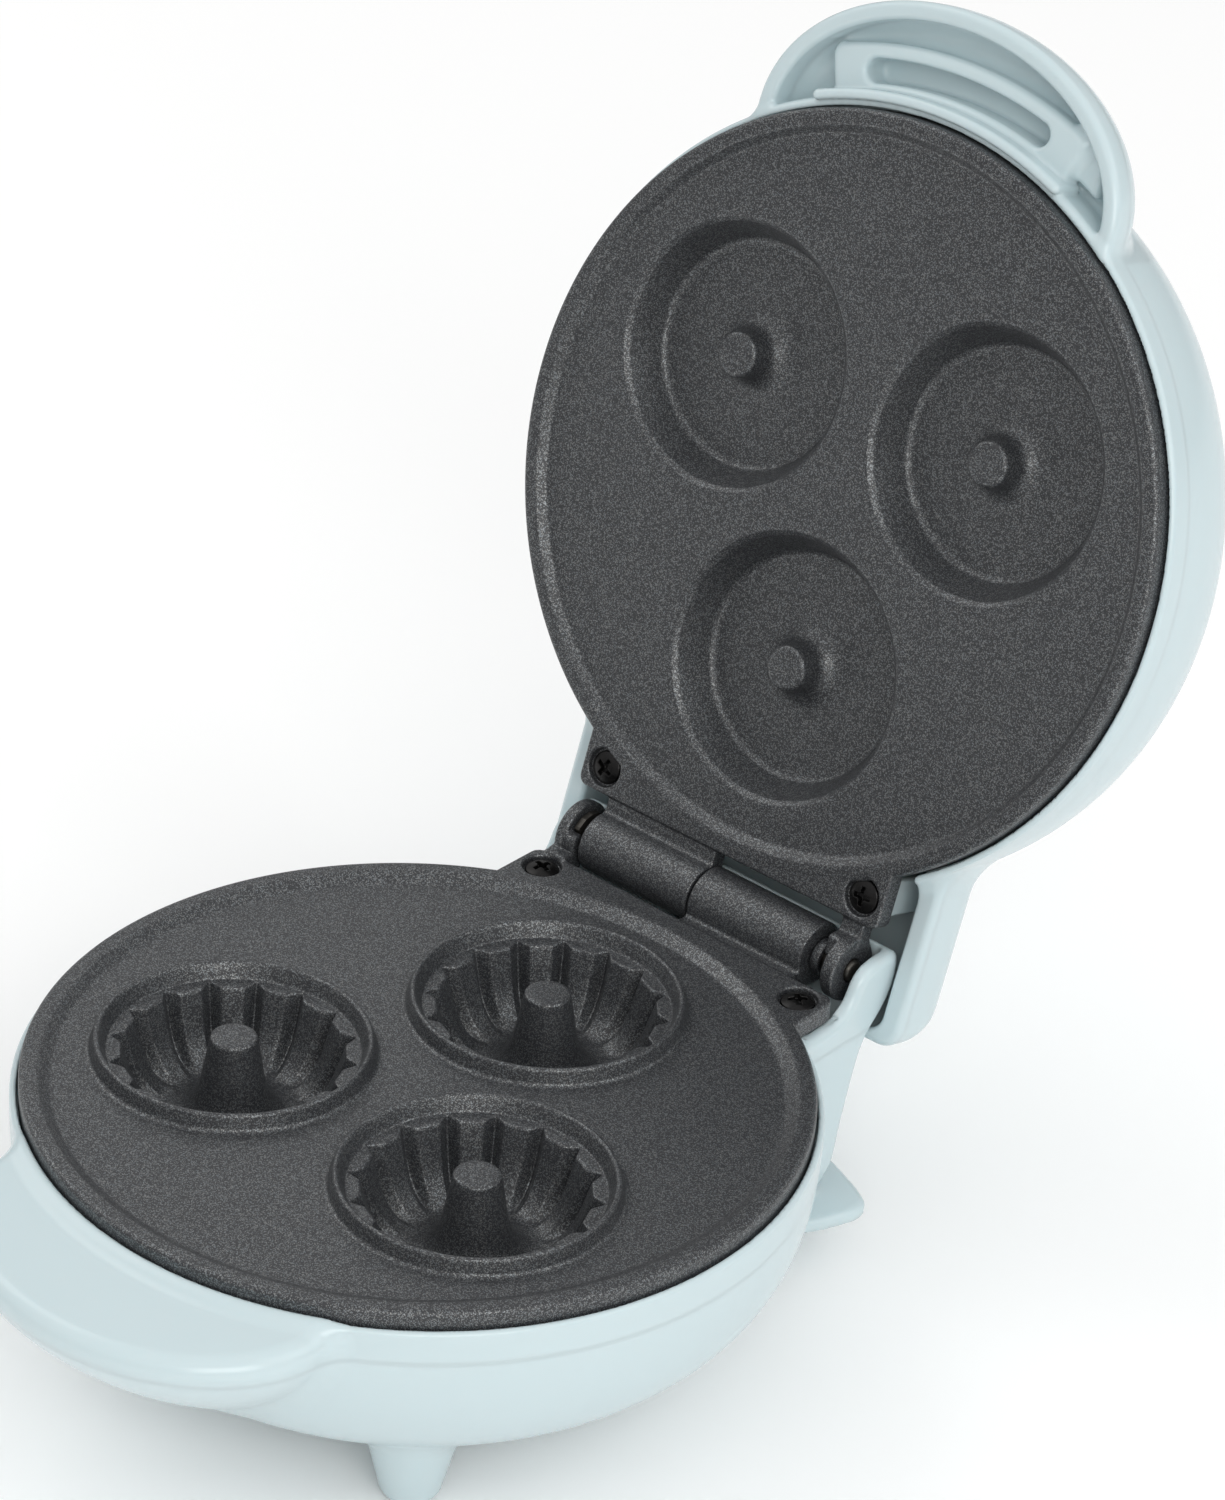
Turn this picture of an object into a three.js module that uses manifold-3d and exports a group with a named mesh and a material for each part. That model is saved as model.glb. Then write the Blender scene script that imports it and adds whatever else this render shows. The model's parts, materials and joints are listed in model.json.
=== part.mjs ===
// Mini donut maker: two round non-stick castings in plastic shells, joined by a rear hinge.
// Working frame: millimetres, +Z up, +X right, the handles towards -Y, the hinge towards +Y.
// Everything is first laid out about the centre of the lower plate, with z = 0 on the top of its rim.
// Lid parts are laid out closed, then turned open about the hinge axis.
import * as THREE from 'three';
import { mergeVertices } from 'three/addons/utils/BufferGeometryUtils.js';
import { ConvexGeometry } from 'three/addons/geometries/ConvexGeometry.js';
import Module from 'manifold-3d';

const wasm = await Module();
wasm.setup();

// ---------------------------------------------------------------- driving dimensions
const PLATE_R = 66;            // outer radius of both castings
const PLATE_SKIRT = 5.6;       // height of the skirt at the edge of a casting
const FLOOR_DROP = 1.5;        // recess of the lower plate inside its rim
const FLOOR_T = 2.8;           // metal thickness of a plate floor
const SHELL_R = 67.5;          // outer radius of the shells at the parting line
const SHELL_GAP = 3.0;         // height of plate edge that shows above the base shell
const WALL = 2.3;              // plastic wall
const BOWL_DEPTH = 43.5;       // base shell, below the rim
const DOME_H = 42.4;           // lid shell, above the rim
const RIM_H = 50;              // rim of the lower plate above the table
const CAV_RC = 31.7;           // donut centres from the plate centre
const CAV_ANGLES = [90, 210, 330];
const CAV_Z = -13.3;           // bottom of a lower mould
const RING_R = 22.6;           // crest of the raised ring round a lower mould
const RING_Z = 1.45;
const FLUTES = 16;
const POST_R = 3.95;           // tip of a lower post
const LID_GAP = 0.3;           // rim to rim clearance with the lid shut
const LAND_W = 1.9;            // lid plate land above the lower rim plane, lid shut
const PAN_R = 24.0;            // bevel of an upper pan
const PAN_W = 9.1;             // floor of an upper pan
const LID_POST_R = 4.1;
const HINGE_Y = 75.02;         // hinge axis behind the plate centre
const HINGE_Z = 1.12;          // and above the lower rim
const OPEN_DEG = 107.84;       // lid opening angle
const BARREL_R = 5.5;
const PIN_R = 2.0;
const BORE_R = 2.08;
const SCREW_Y = 63;
const SCREW_X = 29.3;
const HEATER_R = 58.8;         // radius of the heating element ring
const HEATER_TUBE = 3.0;
const FOOT_FRONT = [32.3, -34];
const FOOT_REAR = [27, 60];
const CHEEK_IN = 32.4;         // base hinge cheeks, inner and outer faces
const CHEEK_OUT = 35.6;
const LID_SIDE_IN = 36.4;      // lid hinge cover, inner and outer faces
const LID_SIDE_OUT = 40;

const SEG_ROUND = 48;          // facets round the large circles

// ---------------------------------------------------------------- solids
const D = Math.PI / 180;
function solid(geometry) {
  const g = geometry.index ? geometry.toNonIndexed() : geometry.clone();
  g.deleteAttribute('normal');
  g.deleteAttribute('uv');
  const m = mergeVertices(g, 1e-5);
  const s = new wasm.Manifold(new wasm.Mesh({
    numProp: 3,
    vertProperties: new Float32Array(m.attributes.position.array),
    triVerts: new Uint32Array(m.index.array),
  }));
  return s;
}
function geometryOf(s) {
  const mesh = s.getMesh();
  const n = mesh.numProp;
  const count = mesh.vertProperties.length / n;
  const pos = new Float32Array(count * 3);
  for (let i = 0; i < count; i++) for (let k = 0; k < 3; k++) pos[3 * i + k] = mesh.vertProperties[i * n + k];
  const g = new THREE.BufferGeometry();
  g.setAttribute('position', new THREE.BufferAttribute(pos, 3));
  g.setIndex(new THREE.BufferAttribute(new Uint32Array(mesh.triVerts), 1));
  return g;
}
const union = (...a) => a.reduce((p, q) => p.add(q));
const cut = (a, ...b) => b.reduce((p, q) => p.subtract(q), a);

// profile: [r, z] pairs running counter-clockwise in the r-z plane
function lathe(profile, seg = 48, x = 0, y = 0, z = 0) {
  const first = profile[0], last = profile[profile.length - 1];
  const pts = profile.map(([r, h]) => new THREE.Vector2(r, h));
  if (first[0] > 1e-9 || last[0] > 1e-9) pts.push(new THREE.Vector2(first[0], first[1]));
  let area = 0;
  for (let i = 0; i < profile.length; i++) {
    const [r1, z1] = profile[i], [r2, z2] = profile[(i + 1) % profile.length];
    area += r1 * z2 - r2 * z1;
  }
  if (area < 0) pts.reverse();
  const g = new THREE.LatheGeometry(pts, seg);
  g.rotateX(Math.PI / 2);
  g.translate(x, y, z);
  return oriented(g);
}
// LatheGeometry turned from Y to Z; make sure that the faces point outwards
function oriented(g) {
  let s = null;
  try { s = solid(g); if (s.volume() > 0) return s; } catch (e) { s = null; }
  const f = g.index ? g.toNonIndexed() : g.clone();
  const p = f.attributes.position.array;
  for (let i = 0; i < p.length; i += 9) {
    for (let k = 0; k < 3; k++) { const t = p[i + 3 + k]; p[i + 3 + k] = p[i + 6 + k]; p[i + 6 + k] = t; }
  }
  return solid(f);
}
function box(x0, x1, y0, y1, z0, z1) {
  const g = new THREE.BoxGeometry(x1 - x0, y1 - y0, z1 - z0);
  g.translate((x0 + x1) / 2, (y0 + y1) / 2, (z0 + z1) / 2);
  return solid(g);
}
function cylZ(r, x, y, z0, z1, seg = 24, r2 = r) {
  const g = new THREE.CylinderGeometry(r2, r, z1 - z0, seg);   // r at z0, r2 at z1
  g.rotateX(Math.PI / 2);
  g.translate(x, y, (z0 + z1) / 2);
  return solid(g);
}
function cylX(r, y, z, x0, x1, seg = 32) {
  const g = new THREE.CylinderGeometry(r, r, x1 - x0, seg);
  g.rotateZ(Math.PI / 2);
  g.translate((x0 + x1) / 2, y, z);
  return solid(g);
}
function cylY(r, x, z, y0, y1, seg = 24) {
  const g = new THREE.CylinderGeometry(r, r, y1 - y0, seg);
  g.translate(x, (y0 + y1) / 2, z);
  return solid(g);
}
// outline in X-Y, raised from z0 to z1
function plan(points, z0, z1) {
  const s = new THREE.Shape(points.map(([x, y]) => new THREE.Vector2(x, y)));
  const g = new THREE.ExtrudeGeometry(s, { depth: z1 - z0, bevelEnabled: false, curveSegments: 12 });
  g.translate(0, 0, z0);
  return oriented(g);
}
// outline in Y-Z, stretched from x0 to x1
function side(points, x0, x1) {
  const s = new THREE.Shape(points.map(([y, z]) => new THREE.Vector2(y, z)));
  const g = new THREE.ExtrudeGeometry(s, { depth: x1 - x0, bevelEnabled: false });
  g.applyMatrix4(new THREE.Matrix4().set(0, 0, 1, x0, 1, 0, 0, 0, 0, 1, 0, 0, 0, 0, 0, 1));
  return oriented(g);
}
function hull(points) {
  return oriented(new ConvexGeometry(points.map((p) => new THREE.Vector3(...p))));
}
function ellipseRing(cx, cy, a, b, z, n = 16) {
  const out = [];
  for (let i = 0; i < n; i++) out.push([cx + a * Math.cos(2 * Math.PI * i / n), cy + b * Math.sin(2 * Math.PI * i / n), z]);
  return out;
}
function sector(r0, r1, a0, a1, z0, z1, n = 12) {
  const pts = [];
  for (let i = 0; i <= n; i++) { const a = (a0 + (a1 - a0) * i / n) * D; pts.push([r1 * Math.cos(a), r1 * Math.sin(a)]); }
  for (let i = n; i >= 0; i--) { const a = (a0 + (a1 - a0) * i / n) * D; pts.push([r0 * Math.cos(a), r0 * Math.sin(a)]); }
  return plan(pts, z0, z1);
}
function tube(points, r, steps, sides = 8) {
  const curve = new THREE.CatmullRomCurve3(points.map((p) => new THREE.Vector3(...p)), false, 'centripetal');
  const s = new THREE.Shape();
  const pts = [];
  for (let i = 0; i < sides; i++) pts.push(new THREE.Vector2(r * Math.cos(2 * Math.PI * i / sides), r * Math.sin(2 * Math.PI * i / sides)));
  s.setFromPoints(pts);
  const g = new THREE.ExtrudeGeometry(s, { steps, extrudePath: curve, bevelEnabled: false });
  return oriented(g);
}

// fluted mould space: a stack of rings with the ribs fading out towards the floor
function flutedCavity(cx, cy) {
  // within one pitch: rib face, slanted side, bottom of the groove
  const stations = [0.0, 0.5, 0.75];
  const groove = [0, 0, 1];
  const rows = [
    { z: 3.0, rin: 22.9, rout: 22.9 },
    { z: -1.2, rin: 21.2, rout: 21.2 },
    { z: -1.35, rin: 18.9, rout: 21.0 },
    { z: -7.0, rin: 17.6, rout: 19.6 },
    { z: -11.6, rin: 14.9, rout: 16.2 },
    { z: CAV_Z, rin: 12.6, rout: 13.2 },
  ];
  const N = FLUTES * groove.length;
  const v = [], f = [];
  for (const row of rows) {
    for (let i = 0; i < N; i++) {
      const k = i % groove.length, p = Math.floor(i / groove.length);
      const a = (p + stations[k]) * 2 * Math.PI / FLUTES;
      const r = groove[k] ? row.rout : row.rin;
      v.push(cx + r * Math.cos(a), cy + r * Math.sin(a), row.z);
    }
  }
  for (let j = 0; j + 1 < rows.length; j++) for (let i = 0; i < N; i++) {
    const i2 = (i + 1) % N, a = j * N + i, b = j * N + i2, c = (j + 1) * N + i, d = (j + 1) * N + i2;
    f.push(a, c, b, b, c, d);
  }
  const top = v.length / 3; v.push(cx, cy, rows[0].z);
  const bot = v.length / 3; v.push(cx, cy, rows[rows.length - 1].z);
  const L = (rows.length - 1) * N;
  for (let i = 0; i < N; i++) { const i2 = (i + 1) % N; f.push(top, i, i2); f.push(bot, L + i2, L + i); }
  const g = new THREE.BufferGeometry();
  g.setAttribute('position', new THREE.BufferAttribute(new Float32Array(v), 3));
  g.setIndex(f);
  return oriented(g);
}
const cavXY = (deg) => [CAV_RC * Math.cos(deg * D), CAV_RC * Math.sin(deg * D)];

// pan head screw with a cross recess; shank down from the head
function screw(x, y, zTop, headR, headH, shankR, shankL, up = true, seg = 16, cross = true) {
  const s = up ? 1 : -1;
  const prof = cross
    ? [[0, 0], [headR * 0.62, 0], [headR, -headH * 0.55], [headR, -headH], [shankR, -headH], [shankR, -headH - shankL + 0.6], [shankR - 0.5, -headH - shankL], [0, -headH - shankL]]
    : [[0, 0], [headR, 0], [headR, -headH], [shankR, -headH], [shankR, -headH - shankL], [0, -headH - shankL]];
  let b = lathe(prof.map(([r, h]) => [r, s * h]), seg);
  if (!cross) return b.translate([x, y, zTop]);
  const w = headR * 0.11, l = headR * 0.5, dep = headH * 0.6;
  const z0 = s > 0 ? -dep : -0.2, z1 = s > 0 ? 0.2 : dep;
  b = cut(b, box(-l, l, -w, w, z0, z1), box(-w, w, -l, l, z0, z1));
  return b.translate([x, y, zTop]);
}

// ---------------------------------------------------------------- base: casting
const P_BOTTOM = -FLOOR_DROP - FLOOR_T;
function flangePoints(sx) {
  return [[-34, 44], [-34, 65.9], [-32.9, 67.4], [32.9, 67.4], [34, 65.9], [34, 44]].map(([x, y]) => [sx * x, y]);
}
function heaterBosses(zPlate, dir, shaftZ) {
  // bosses at 30 and 150 degrees that take the clamp screws
  return [30, 150].map((a) => {
    const x = 50.5 * Math.cos(a * D), y = 50.5 * Math.sin(a * D);
    return cylZ(3.4, x, y, Math.min(zPlate, zPlate + dir * shaftZ), Math.max(zPlate, zPlate + dir * shaftZ), 16);
  });
}
let basePlate = lathe([
  [0, -FLOOR_DROP], [60.6, -FLOOR_DROP], [63.2, 0], [65.5, 0], [PLATE_R, -0.5], [PLATE_R, -PLATE_SKIRT],
  [62.8, -PLATE_SKIRT], [62.8, P_BOTTOM], [0, P_BOTTOM],
], SEG_ROUND);
basePlate = basePlate.add(plan(flangePoints(1), -4.0, 0).subtract(cylZ(63, 0, 0, -10, 5, SEG_ROUND)));
for (const a of CAV_ANGLES) {
  const [cx, cy] = cavXY(a);
  basePlate = basePlate.add(lathe([
    [0, P_BOTTOM + 0.4], [24.3, P_BOTTOM + 0.4], [24.3, -1.6], [23.2, RING_Z], [0, RING_Z],
  ], 36, cx, cy));
  basePlate = basePlate.add(lathe([[0, -15.5], [14.4, -15.5], [20.6, -10.8], [23.0, P_BOTTOM + 0.2], [0, P_BOTTOM + 0.2]], 24, cx, cy));
}
for (const a of CAV_ANGLES) {
  const [cx, cy] = cavXY(a);
  basePlate = basePlate.subtract(flutedCavity(cx, cy));
  basePlate = basePlate.add(lathe([
    [0, RING_Z + 0.01], [POST_R, RING_Z + 0.01], [6.0, -9.5], [8.6, -12.7], [11.6, CAV_Z - 0.2], [0, CAV_Z - 0.2],
  ], 16, cx, cy));
}
// hinge barrel on the right, ear on the left, both carried by the flange
basePlate = union(basePlate,
  cylX(BARREL_R, HINGE_Y, HINGE_Z, -1.4, 24, 24),
  box(-1.4, 24, 66.5, 74.5, -4.0, -0.1),
  cylX(6.0, HINGE_Y, HINGE_Z, -32.1, -29.8, 24),
  box(-32.1, -27.6, 66.5, 70.6, -4.0, 0),
  cylX(6.0, HINGE_Y, HINGE_Z, -29.9, -27.6, 24).intersect(box(-31, -27, 60, 71.6, -8, 3.5)),
  box(-32.1, -29.8, 68, 74, -4.0, 0.5));
for (const b of heaterBosses(P_BOTTOM, -1, 7.0)) basePlate = basePlate.add(b);
// pads under the flange round the rear screws
for (const s of [-1, 1]) basePlate = basePlate.add(cylZ(2.8, s * SCREW_X, SCREW_Y, -PLATE_SKIRT, -3.9, 12));
basePlate = cut(basePlate,
  cylX(BORE_R, HINGE_Y, HINGE_Z, -40, 40, 16),
  cylZ(4.0, SCREW_X, SCREW_Y, -1.5, 3, 16), cylZ(4.0, -SCREW_X, SCREW_Y, -1.5, 3, 16),
  cylZ(1.8, SCREW_X, SCREW_Y, -8, 0, 10), cylZ(1.8, -SCREW_X, SCREW_Y, -8, 0, 10),
  ...[30, 150].map((a) => cylZ(1.55, 50.5 * Math.cos(a * D), 50.5 * Math.sin(a * D), -13, -5.2, 12)));

// ---------------------------------------------------------------- base: shell
const bowlOuter = [[0, -BOWL_DEPTH], [22, -43.0], [38, -41.3], [48, -38.5], [55.8, -34.5], [61.4, -29.2], [65.2, -23], [67.0, -16], [SHELL_R, -9], [SHELL_R, -SHELL_GAP], [0, -SHELL_GAP]];
const bowlInner = [[0, -BOWL_DEPTH + WALL], [22, -40.7], [42, -38.0], [54.0, -32.9], [61.4, -25.2], [64.7, -15.6], [65.2, -6.2], [66.4, -6.0], [66.4, 4], [0, 4]];
const cheekOutline = [[30, -4.6], [60, -4.7], [63.7, -4.4], [66.0, -3.8], [67.6, -2.6], [68.6, -0.6], [69.6, 1.8], [70.9, 3.5], [72.6, 4.2], [81.8, 4.3], [82.6, 3.8], [82.9, 3.0], [82.8, 0.6], [82.3, -2.2], [81.0, -5.0], [78.8, -7.6], [76.2, -10], [74.4, -13], [72.9, -18], [70.9, -26], [69.4, -34], [66.5, -37.4], [60, -39.6], [44, -40.2], [30, -38.6]];
const housingInner = [[46.5, 20], [95, 20], [95, 5.2], [81.5, 5.2], [81.4, 0.6], [80.9, -2.0], [79.7, -4.3], [77.7, -6.6], [75.2, -8.8], [73.4, -11], [72.0, -13.8], [70.5, -18.5], [68.5, -26.3], [67.1, -33.2], [65.1, -35.2], [59.5, -37.3], [46.5, -37.8]];
let baseOuter = union(
  lathe(bowlOuter, SEG_ROUND),
  hull([...ellipseRing(0, -60, 33.5, 25.2, -3.6), ...ellipseRing(0, -60, 36, 27.6, -6), ...ellipseRing(0, -60, 36.3, 28, -9.5), ...ellipseRing(0, -58.5, 33, 24.5, -15), ...ellipseRing(0, -55, 27, 19, -22), ...ellipseRing(0, -50, 18, 13, -30)]),
  side(cheekOutline, -CHEEK_OUT, CHEEK_OUT));
// tapered feet
const feet = [['front_left', -FOOT_FRONT[0], FOOT_FRONT[1]], ['front_right', FOOT_FRONT[0], FOOT_FRONT[1]], ['rear_left', -FOOT_REAR[0], FOOT_REAR[1]], ['rear_right', FOOT_REAR[0], FOOT_REAR[1]]];
for (const [, x, y] of feet) baseOuter = baseOuter.add(lathe([[0, -RIM_H + 0.5], [3.9, -RIM_H + 0.5], [5.0, -RIM_H + 1.4], [6.6, -43], [7.9, -37.5], [0, -37.5]], 16, x, y));
// rear flange: cord wrap and heel of the base
const tabOutline = [[0, 80], [14, 79.3], [24, 77.6], [32, 75], [38.5, 72.4], [42, 70.6], [43.6, 68.6], [43.6, 66], [41.4, 60], [38, 54], [30, 40], [0, 40]];
baseOuter = baseOuter.add(plan([...tabOutline, ...tabOutline.slice(1, -1).reverse().map(([x, y]) => [-x, y])], -41.4, -38.6).intersect(cylZ(90, 0, 0, -60, 0, 48)));
let baseShell = cut(baseOuter,
  lathe(bowlInner, SEG_ROUND),
  hull([...ellipseRing(0, -59, 33.6, 24.4, -6.2), ...ellipseRing(0, -59, 33.9, 25.6, -9.5), ...ellipseRing(0, -57.5, 30.6, 22.2, -14.6), ...ellipseRing(0, -54, 24.6, 16.8, -21.2), ...ellipseRing(0, -49, 16, 11, -28.5)]),
  side(housingInner, -CHEEK_IN, CHEEK_IN),
  box(-34.3, 34.3, 50, 71, -4.3, 8));
// the cheeks above the flange level
const cheekTop = side(cheekOutline, -CHEEK_OUT, CHEEK_OUT).subtract(box(-CHEEK_IN, CHEEK_IN, 30, 95, -8, 30)).intersect(box(-50, 50, 66.8, 95, -10, 30)).subtract(box(-34.3, 34.3, 50, 67.9, -4.3, 8));
baseShell = baseShell.add(cheekTop);
// screw bosses, shield posts, terminal pad, opening stops, tongue pocket rib
for (const s of [-1, 1]) {
  const b = box(Math.min(s * 26, s * 33), Math.max(s * 26, s * 33), 59.5, 66.2, -38, -PLATE_SKIRT - 0.3);
  baseShell = baseShell.add(b);
}
const shieldPosts = [90 + 45, 270, 45].map((a) => [44 * Math.cos(a * D), 44 * Math.sin(a * D)]);
for (const [x, y] of shieldPosts) baseShell = baseShell.add(cylZ(3.2, x, y, -39, -20.4, 10));
baseShell = union(baseShell,
  box(-15, 15, 20, 36, -41, -38),
  box(-27, -18, 72.0, 75.7, -16, -11.0), box(18, 27, 72.0, 75.7, -16, -11.0));
baseShell = cut(baseShell,
  ...[-1, 1].map((s) => cylZ(1.45, s * SCREW_X, SCREW_Y, -19, 0, 10)),
  ...shieldPosts.map(([x, y]) => cylZ(1.4, x, y, -32, -10, 10)),
  cylY(3.6, 0, -29, 60, 80, 20),                       // supply cord inlet
  ...feet.map(([, x, y]) => cylZ(3.2, x, y, -RIM_H - 2, -RIM_H + 1.6, 12)));

// ---------------------------------------------------------------- lid: casting
const L_BACK = LAND_W + FLOOR_T;
let lidPlate = lathe([
  [0, L_BACK], [62.8, L_BACK], [62.8, LID_GAP + PLATE_SKIRT], [PLATE_R, LID_GAP + PLATE_SKIRT], [PLATE_R, LID_GAP + 0.5], [65.5, LID_GAP], [63.2, LID_GAP], [61.6, LAND_W], [0, LAND_W],
], SEG_ROUND);
lidPlate = lidPlate.add(plan([[-34, 44], [-34, 65.2], [-33.2, 66.6], [33.2, 66.6], [34, 65.2], [34, 44]], LID_GAP, 4.2).subtract(cylZ(63, 0, 0, -10, 10, SEG_ROUND)));
for (const a of CAV_ANGLES) {
  const [cx, cy] = cavXY(a);
  lidPlate = lidPlate.add(lathe([[0, PAN_W + 2.2], [20.2, PAN_W + 2.2], [25.2, L_BACK - 0.3], [0, L_BACK - 0.3]], 24, cx, cy));
}
for (const a of CAV_ANGLES) {
  const [cx, cy] = cavXY(a);
  lidPlate = lidPlate.subtract(lathe([[0, 0], [24.4, 0], [PAN_R, LAND_W], [23.15, LAND_W + 0.8], [20.4, PAN_W], [0, PAN_W]], 32, cx, cy));
  lidPlate = lidPlate.add(lathe([[0, 2.56], [4.0, 2.56], [5.8, PAN_W - 1.0], [7.4, PAN_W + 0.3], [0, PAN_W + 0.3]], 16, cx, cy));
}
lidPlate = union(lidPlate,
  cylX(BARREL_R, HINGE_Y, HINGE_Z, -27, -2.0, 24),
  box(-27, -2.0, 65.5, 74.5, 0.8, 4.2),
  cylX(5.8, HINGE_Y, HINGE_Z, 28.6, 31.2, 24),
  box(26.5, 31.2, 65.5, 71.5, 0.8, 4.2),
  cylX(5.8, HINGE_Y, HINGE_Z, 26.5, 28.7, 24).intersect(box(26, 29, 60, 73.6, 0.8, 9)));
for (const b of heaterBosses(L_BACK, 1, 6.8)) lidPlate = lidPlate.add(b);
for (const s of [-1, 1]) lidPlate = lidPlate.add(cylZ(2.8, s * SCREW_X, SCREW_Y - 1, 4.1, LID_GAP + PLATE_SKIRT, 12));
lidPlate = cut(lidPlate,
  cylX(BORE_R, HINGE_Y, HINGE_Z, -40, 40, 16),
  cylZ(4.0, SCREW_X, SCREW_Y - 1, -2, LID_GAP + 1.5, 16), cylZ(4.0, -SCREW_X, SCREW_Y - 1, -2, LID_GAP + 1.5, 16),
  cylZ(1.8, SCREW_X, SCREW_Y - 1, 0, 8, 10), cylZ(1.8, -SCREW_X, SCREW_Y - 1, 0, 8, 10),
  // clearance round the base ear and barrel
  box(-33.0, -27.3, 67.0, 84, -8, 9),
  cylX(6.3, HINGE_Y, HINGE_Z, -33.0, -27.3, 24),
  cylX(5.9, HINGE_Y, HINGE_Z, -1.7, 24.3, 24),
  ...[30, 150].map((a) => cylZ(1.55, 50.5 * Math.cos(a * D), 50.5 * Math.sin(a * D), 6.0, 14, 12)));
// and the same courtesy for the base casting round the lid barrel and ear
basePlate = cut(basePlate,
  cylX(5.9, HINGE_Y, HINGE_Z, -27.3, -1.7, 24),
  cylX(6.1, HINGE_Y, HINGE_Z, 26.2, 31.5, 24));

// ---------------------------------------------------------------- lid: shell
const W0 = LID_GAP + SHELL_GAP;
const domeOuter = [[0, DOME_H], [22, 41.9], [38, 40.4], [48, 37.9], [55.8, 34.4], [61.0, 30.2], [64.6, 25], [66.6, 18.5], [SHELL_R, 10], [SHELL_R, W0], [0, W0]];
const domeInner = [[0, DOME_H - WALL], [22, 39.6], [42, 37.1], [54.0, 32.8], [61.0, 26.3], [64.3, 18], [65.2, 6.5], [66.4, 6.3], [66.4, -4], [0, -4]];
function coverHull(inset, zLow) {
  const rows = [[zLow, LID_SIDE_OUT, 87.4], [12, LID_SIDE_OUT, 87.4], [17, 39.2, 86.2], [21, 37, 83], [25, 33, 77], [29, 27, 69], [33, 18, 58]];
  const pts = [];
  const wallX = inset > 0 ? LID_SIDE_OUT - LID_SIDE_IN : 0;
  for (const [z, x, y] of rows) {
    const zz = z === zLow ? zLow : z - inset * 0.9, xx = x - wallX, yy = y - inset;
    const c = inset > 0 ? 0.35 : 1;
    for (const s of [-1, 1]) {
      pts.push([s * xx, 45 + inset, zz], [s * xx, yy - 5 * c, zz], [s * (xx - 1.6 * c), yy - 1.5 * c, zz], [s * (xx - 5 * c), yy, zz]);
    }
  }
  return hull(pts);
}
const handleOuter = hull([...ellipseRing(0, -58.5, 37.6, 26.6, W0), ...ellipseRing(0, -58.5, 38, 27, W0 + 1.2), ...ellipseRing(0, -58.5, 37.4, 26.4, 9), ...ellipseRing(0, -58, 34.5, 24, 13.5), ...ellipseRing(0, -56, 28, 18.6, 17.5), ...ellipseRing(0, -52, 18, 10, 22)]);
const pocket = hull([...ellipseRing(0, -58.5, 34.8, 23.8, -2), ...ellipseRing(0, -58.5, 34.6, 23.6, 8.5), ...ellipseRing(0, -58.5, 33.4, 22.4, 10.5)])
  .subtract(cylZ(68.0, 0, 0, -5, 30, SEG_ROUND));
let lidShell = union(lathe(domeOuter, SEG_ROUND), handleOuter, coverHull(0, 6.4));
lidShell = cut(lidShell,
  pocket,
  lathe(domeInner, SEG_ROUND),
  coverHull(2.3, -3).intersect(box(-60, 60, 40, 90, -5, 40)),
  box(-LID_SIDE_IN, LID_SIDE_IN, 54, 84.9, -5, 8));
// raised land with the long finger slot, and the curved lip in front of it
lidShell = union(lidShell,
  sector(67.8, 77.2, -111, -69, 5.2, 12.6, 14),
  sector(67.3, 69.2, -112.5, -67.5, 1.6, 8, 16));
const slotPts = [];
{
  const rc = 72.4, h = 2.15, a0 = -90 - 13.8, a1 = -90 + 13.8, n = 10;
  for (let i = 0; i <= n; i++) { const a = (a0 + (a1 - a0) * i / n) * D; slotPts.push([(rc + h) * Math.cos(a), (rc + h) * Math.sin(a)]); }
  for (let i = 1; i < 6; i++) { const t = Math.PI * i / 6, a = a1 * D, c = [rc * Math.cos(a), rc * Math.sin(a)]; slotPts.push([c[0] + h * (Math.cos(a) * Math.cos(t) - Math.sin(a) * Math.sin(t)), c[1] + h * (Math.sin(a) * Math.cos(t) + Math.cos(a) * Math.sin(t))]); }
  for (let i = n; i >= 0; i--) { const a = (a0 + (a1 - a0) * i / n) * D; slotPts.push([(rc - h) * Math.cos(a), (rc - h) * Math.sin(a)]); }
  for (let i = 1; i < 6; i++) { const t = Math.PI - Math.PI * i / 6, a = a0 * D, c = [rc * Math.cos(a), rc * Math.sin(a)]; slotPts.push([c[0] + h * (Math.cos(a) * Math.cos(t) + Math.sin(a) * Math.sin(t)), c[1] + h * (Math.sin(a) * Math.cos(t) - Math.cos(a) * Math.sin(t))]); }
}
lidShell = lidShell.subtract(plan(slotPts, -1, 11.2));
// screw bosses down from the dome, shield posts, lamp hole
for (const s of [-1, 1]) lidShell = lidShell.add(box(s > 0 ? 25.8 : -31.9, s > 0 ? 31.9 : -25.8, 58.6, 65.4, LID_GAP + PLATE_SKIRT + 0.3, 24).intersect(union(lathe(domeOuter, SEG_ROUND), coverHull(0, 4.4))));
const lidPosts = [135, 270, 45].map((a) => [44 * Math.cos(a * D), 44 * Math.sin(a * D)]);
for (const [x, y] of lidPosts) lidShell = lidShell.add(cylZ(3.2, x, y, 20.0, 37.4, 10));
lidShell = cut(lidShell,
  ...[-1, 1].map((s) => cylZ(1.45, s * SCREW_X, SCREW_Y - 1, 0, 17.5, 10)),
  ...lidPosts.map(([x, y]) => cylZ(1.4, x, y, 10, 30, 10)),
  cylZ(4.3, 0, -20, 30, 50, 16));

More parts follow.
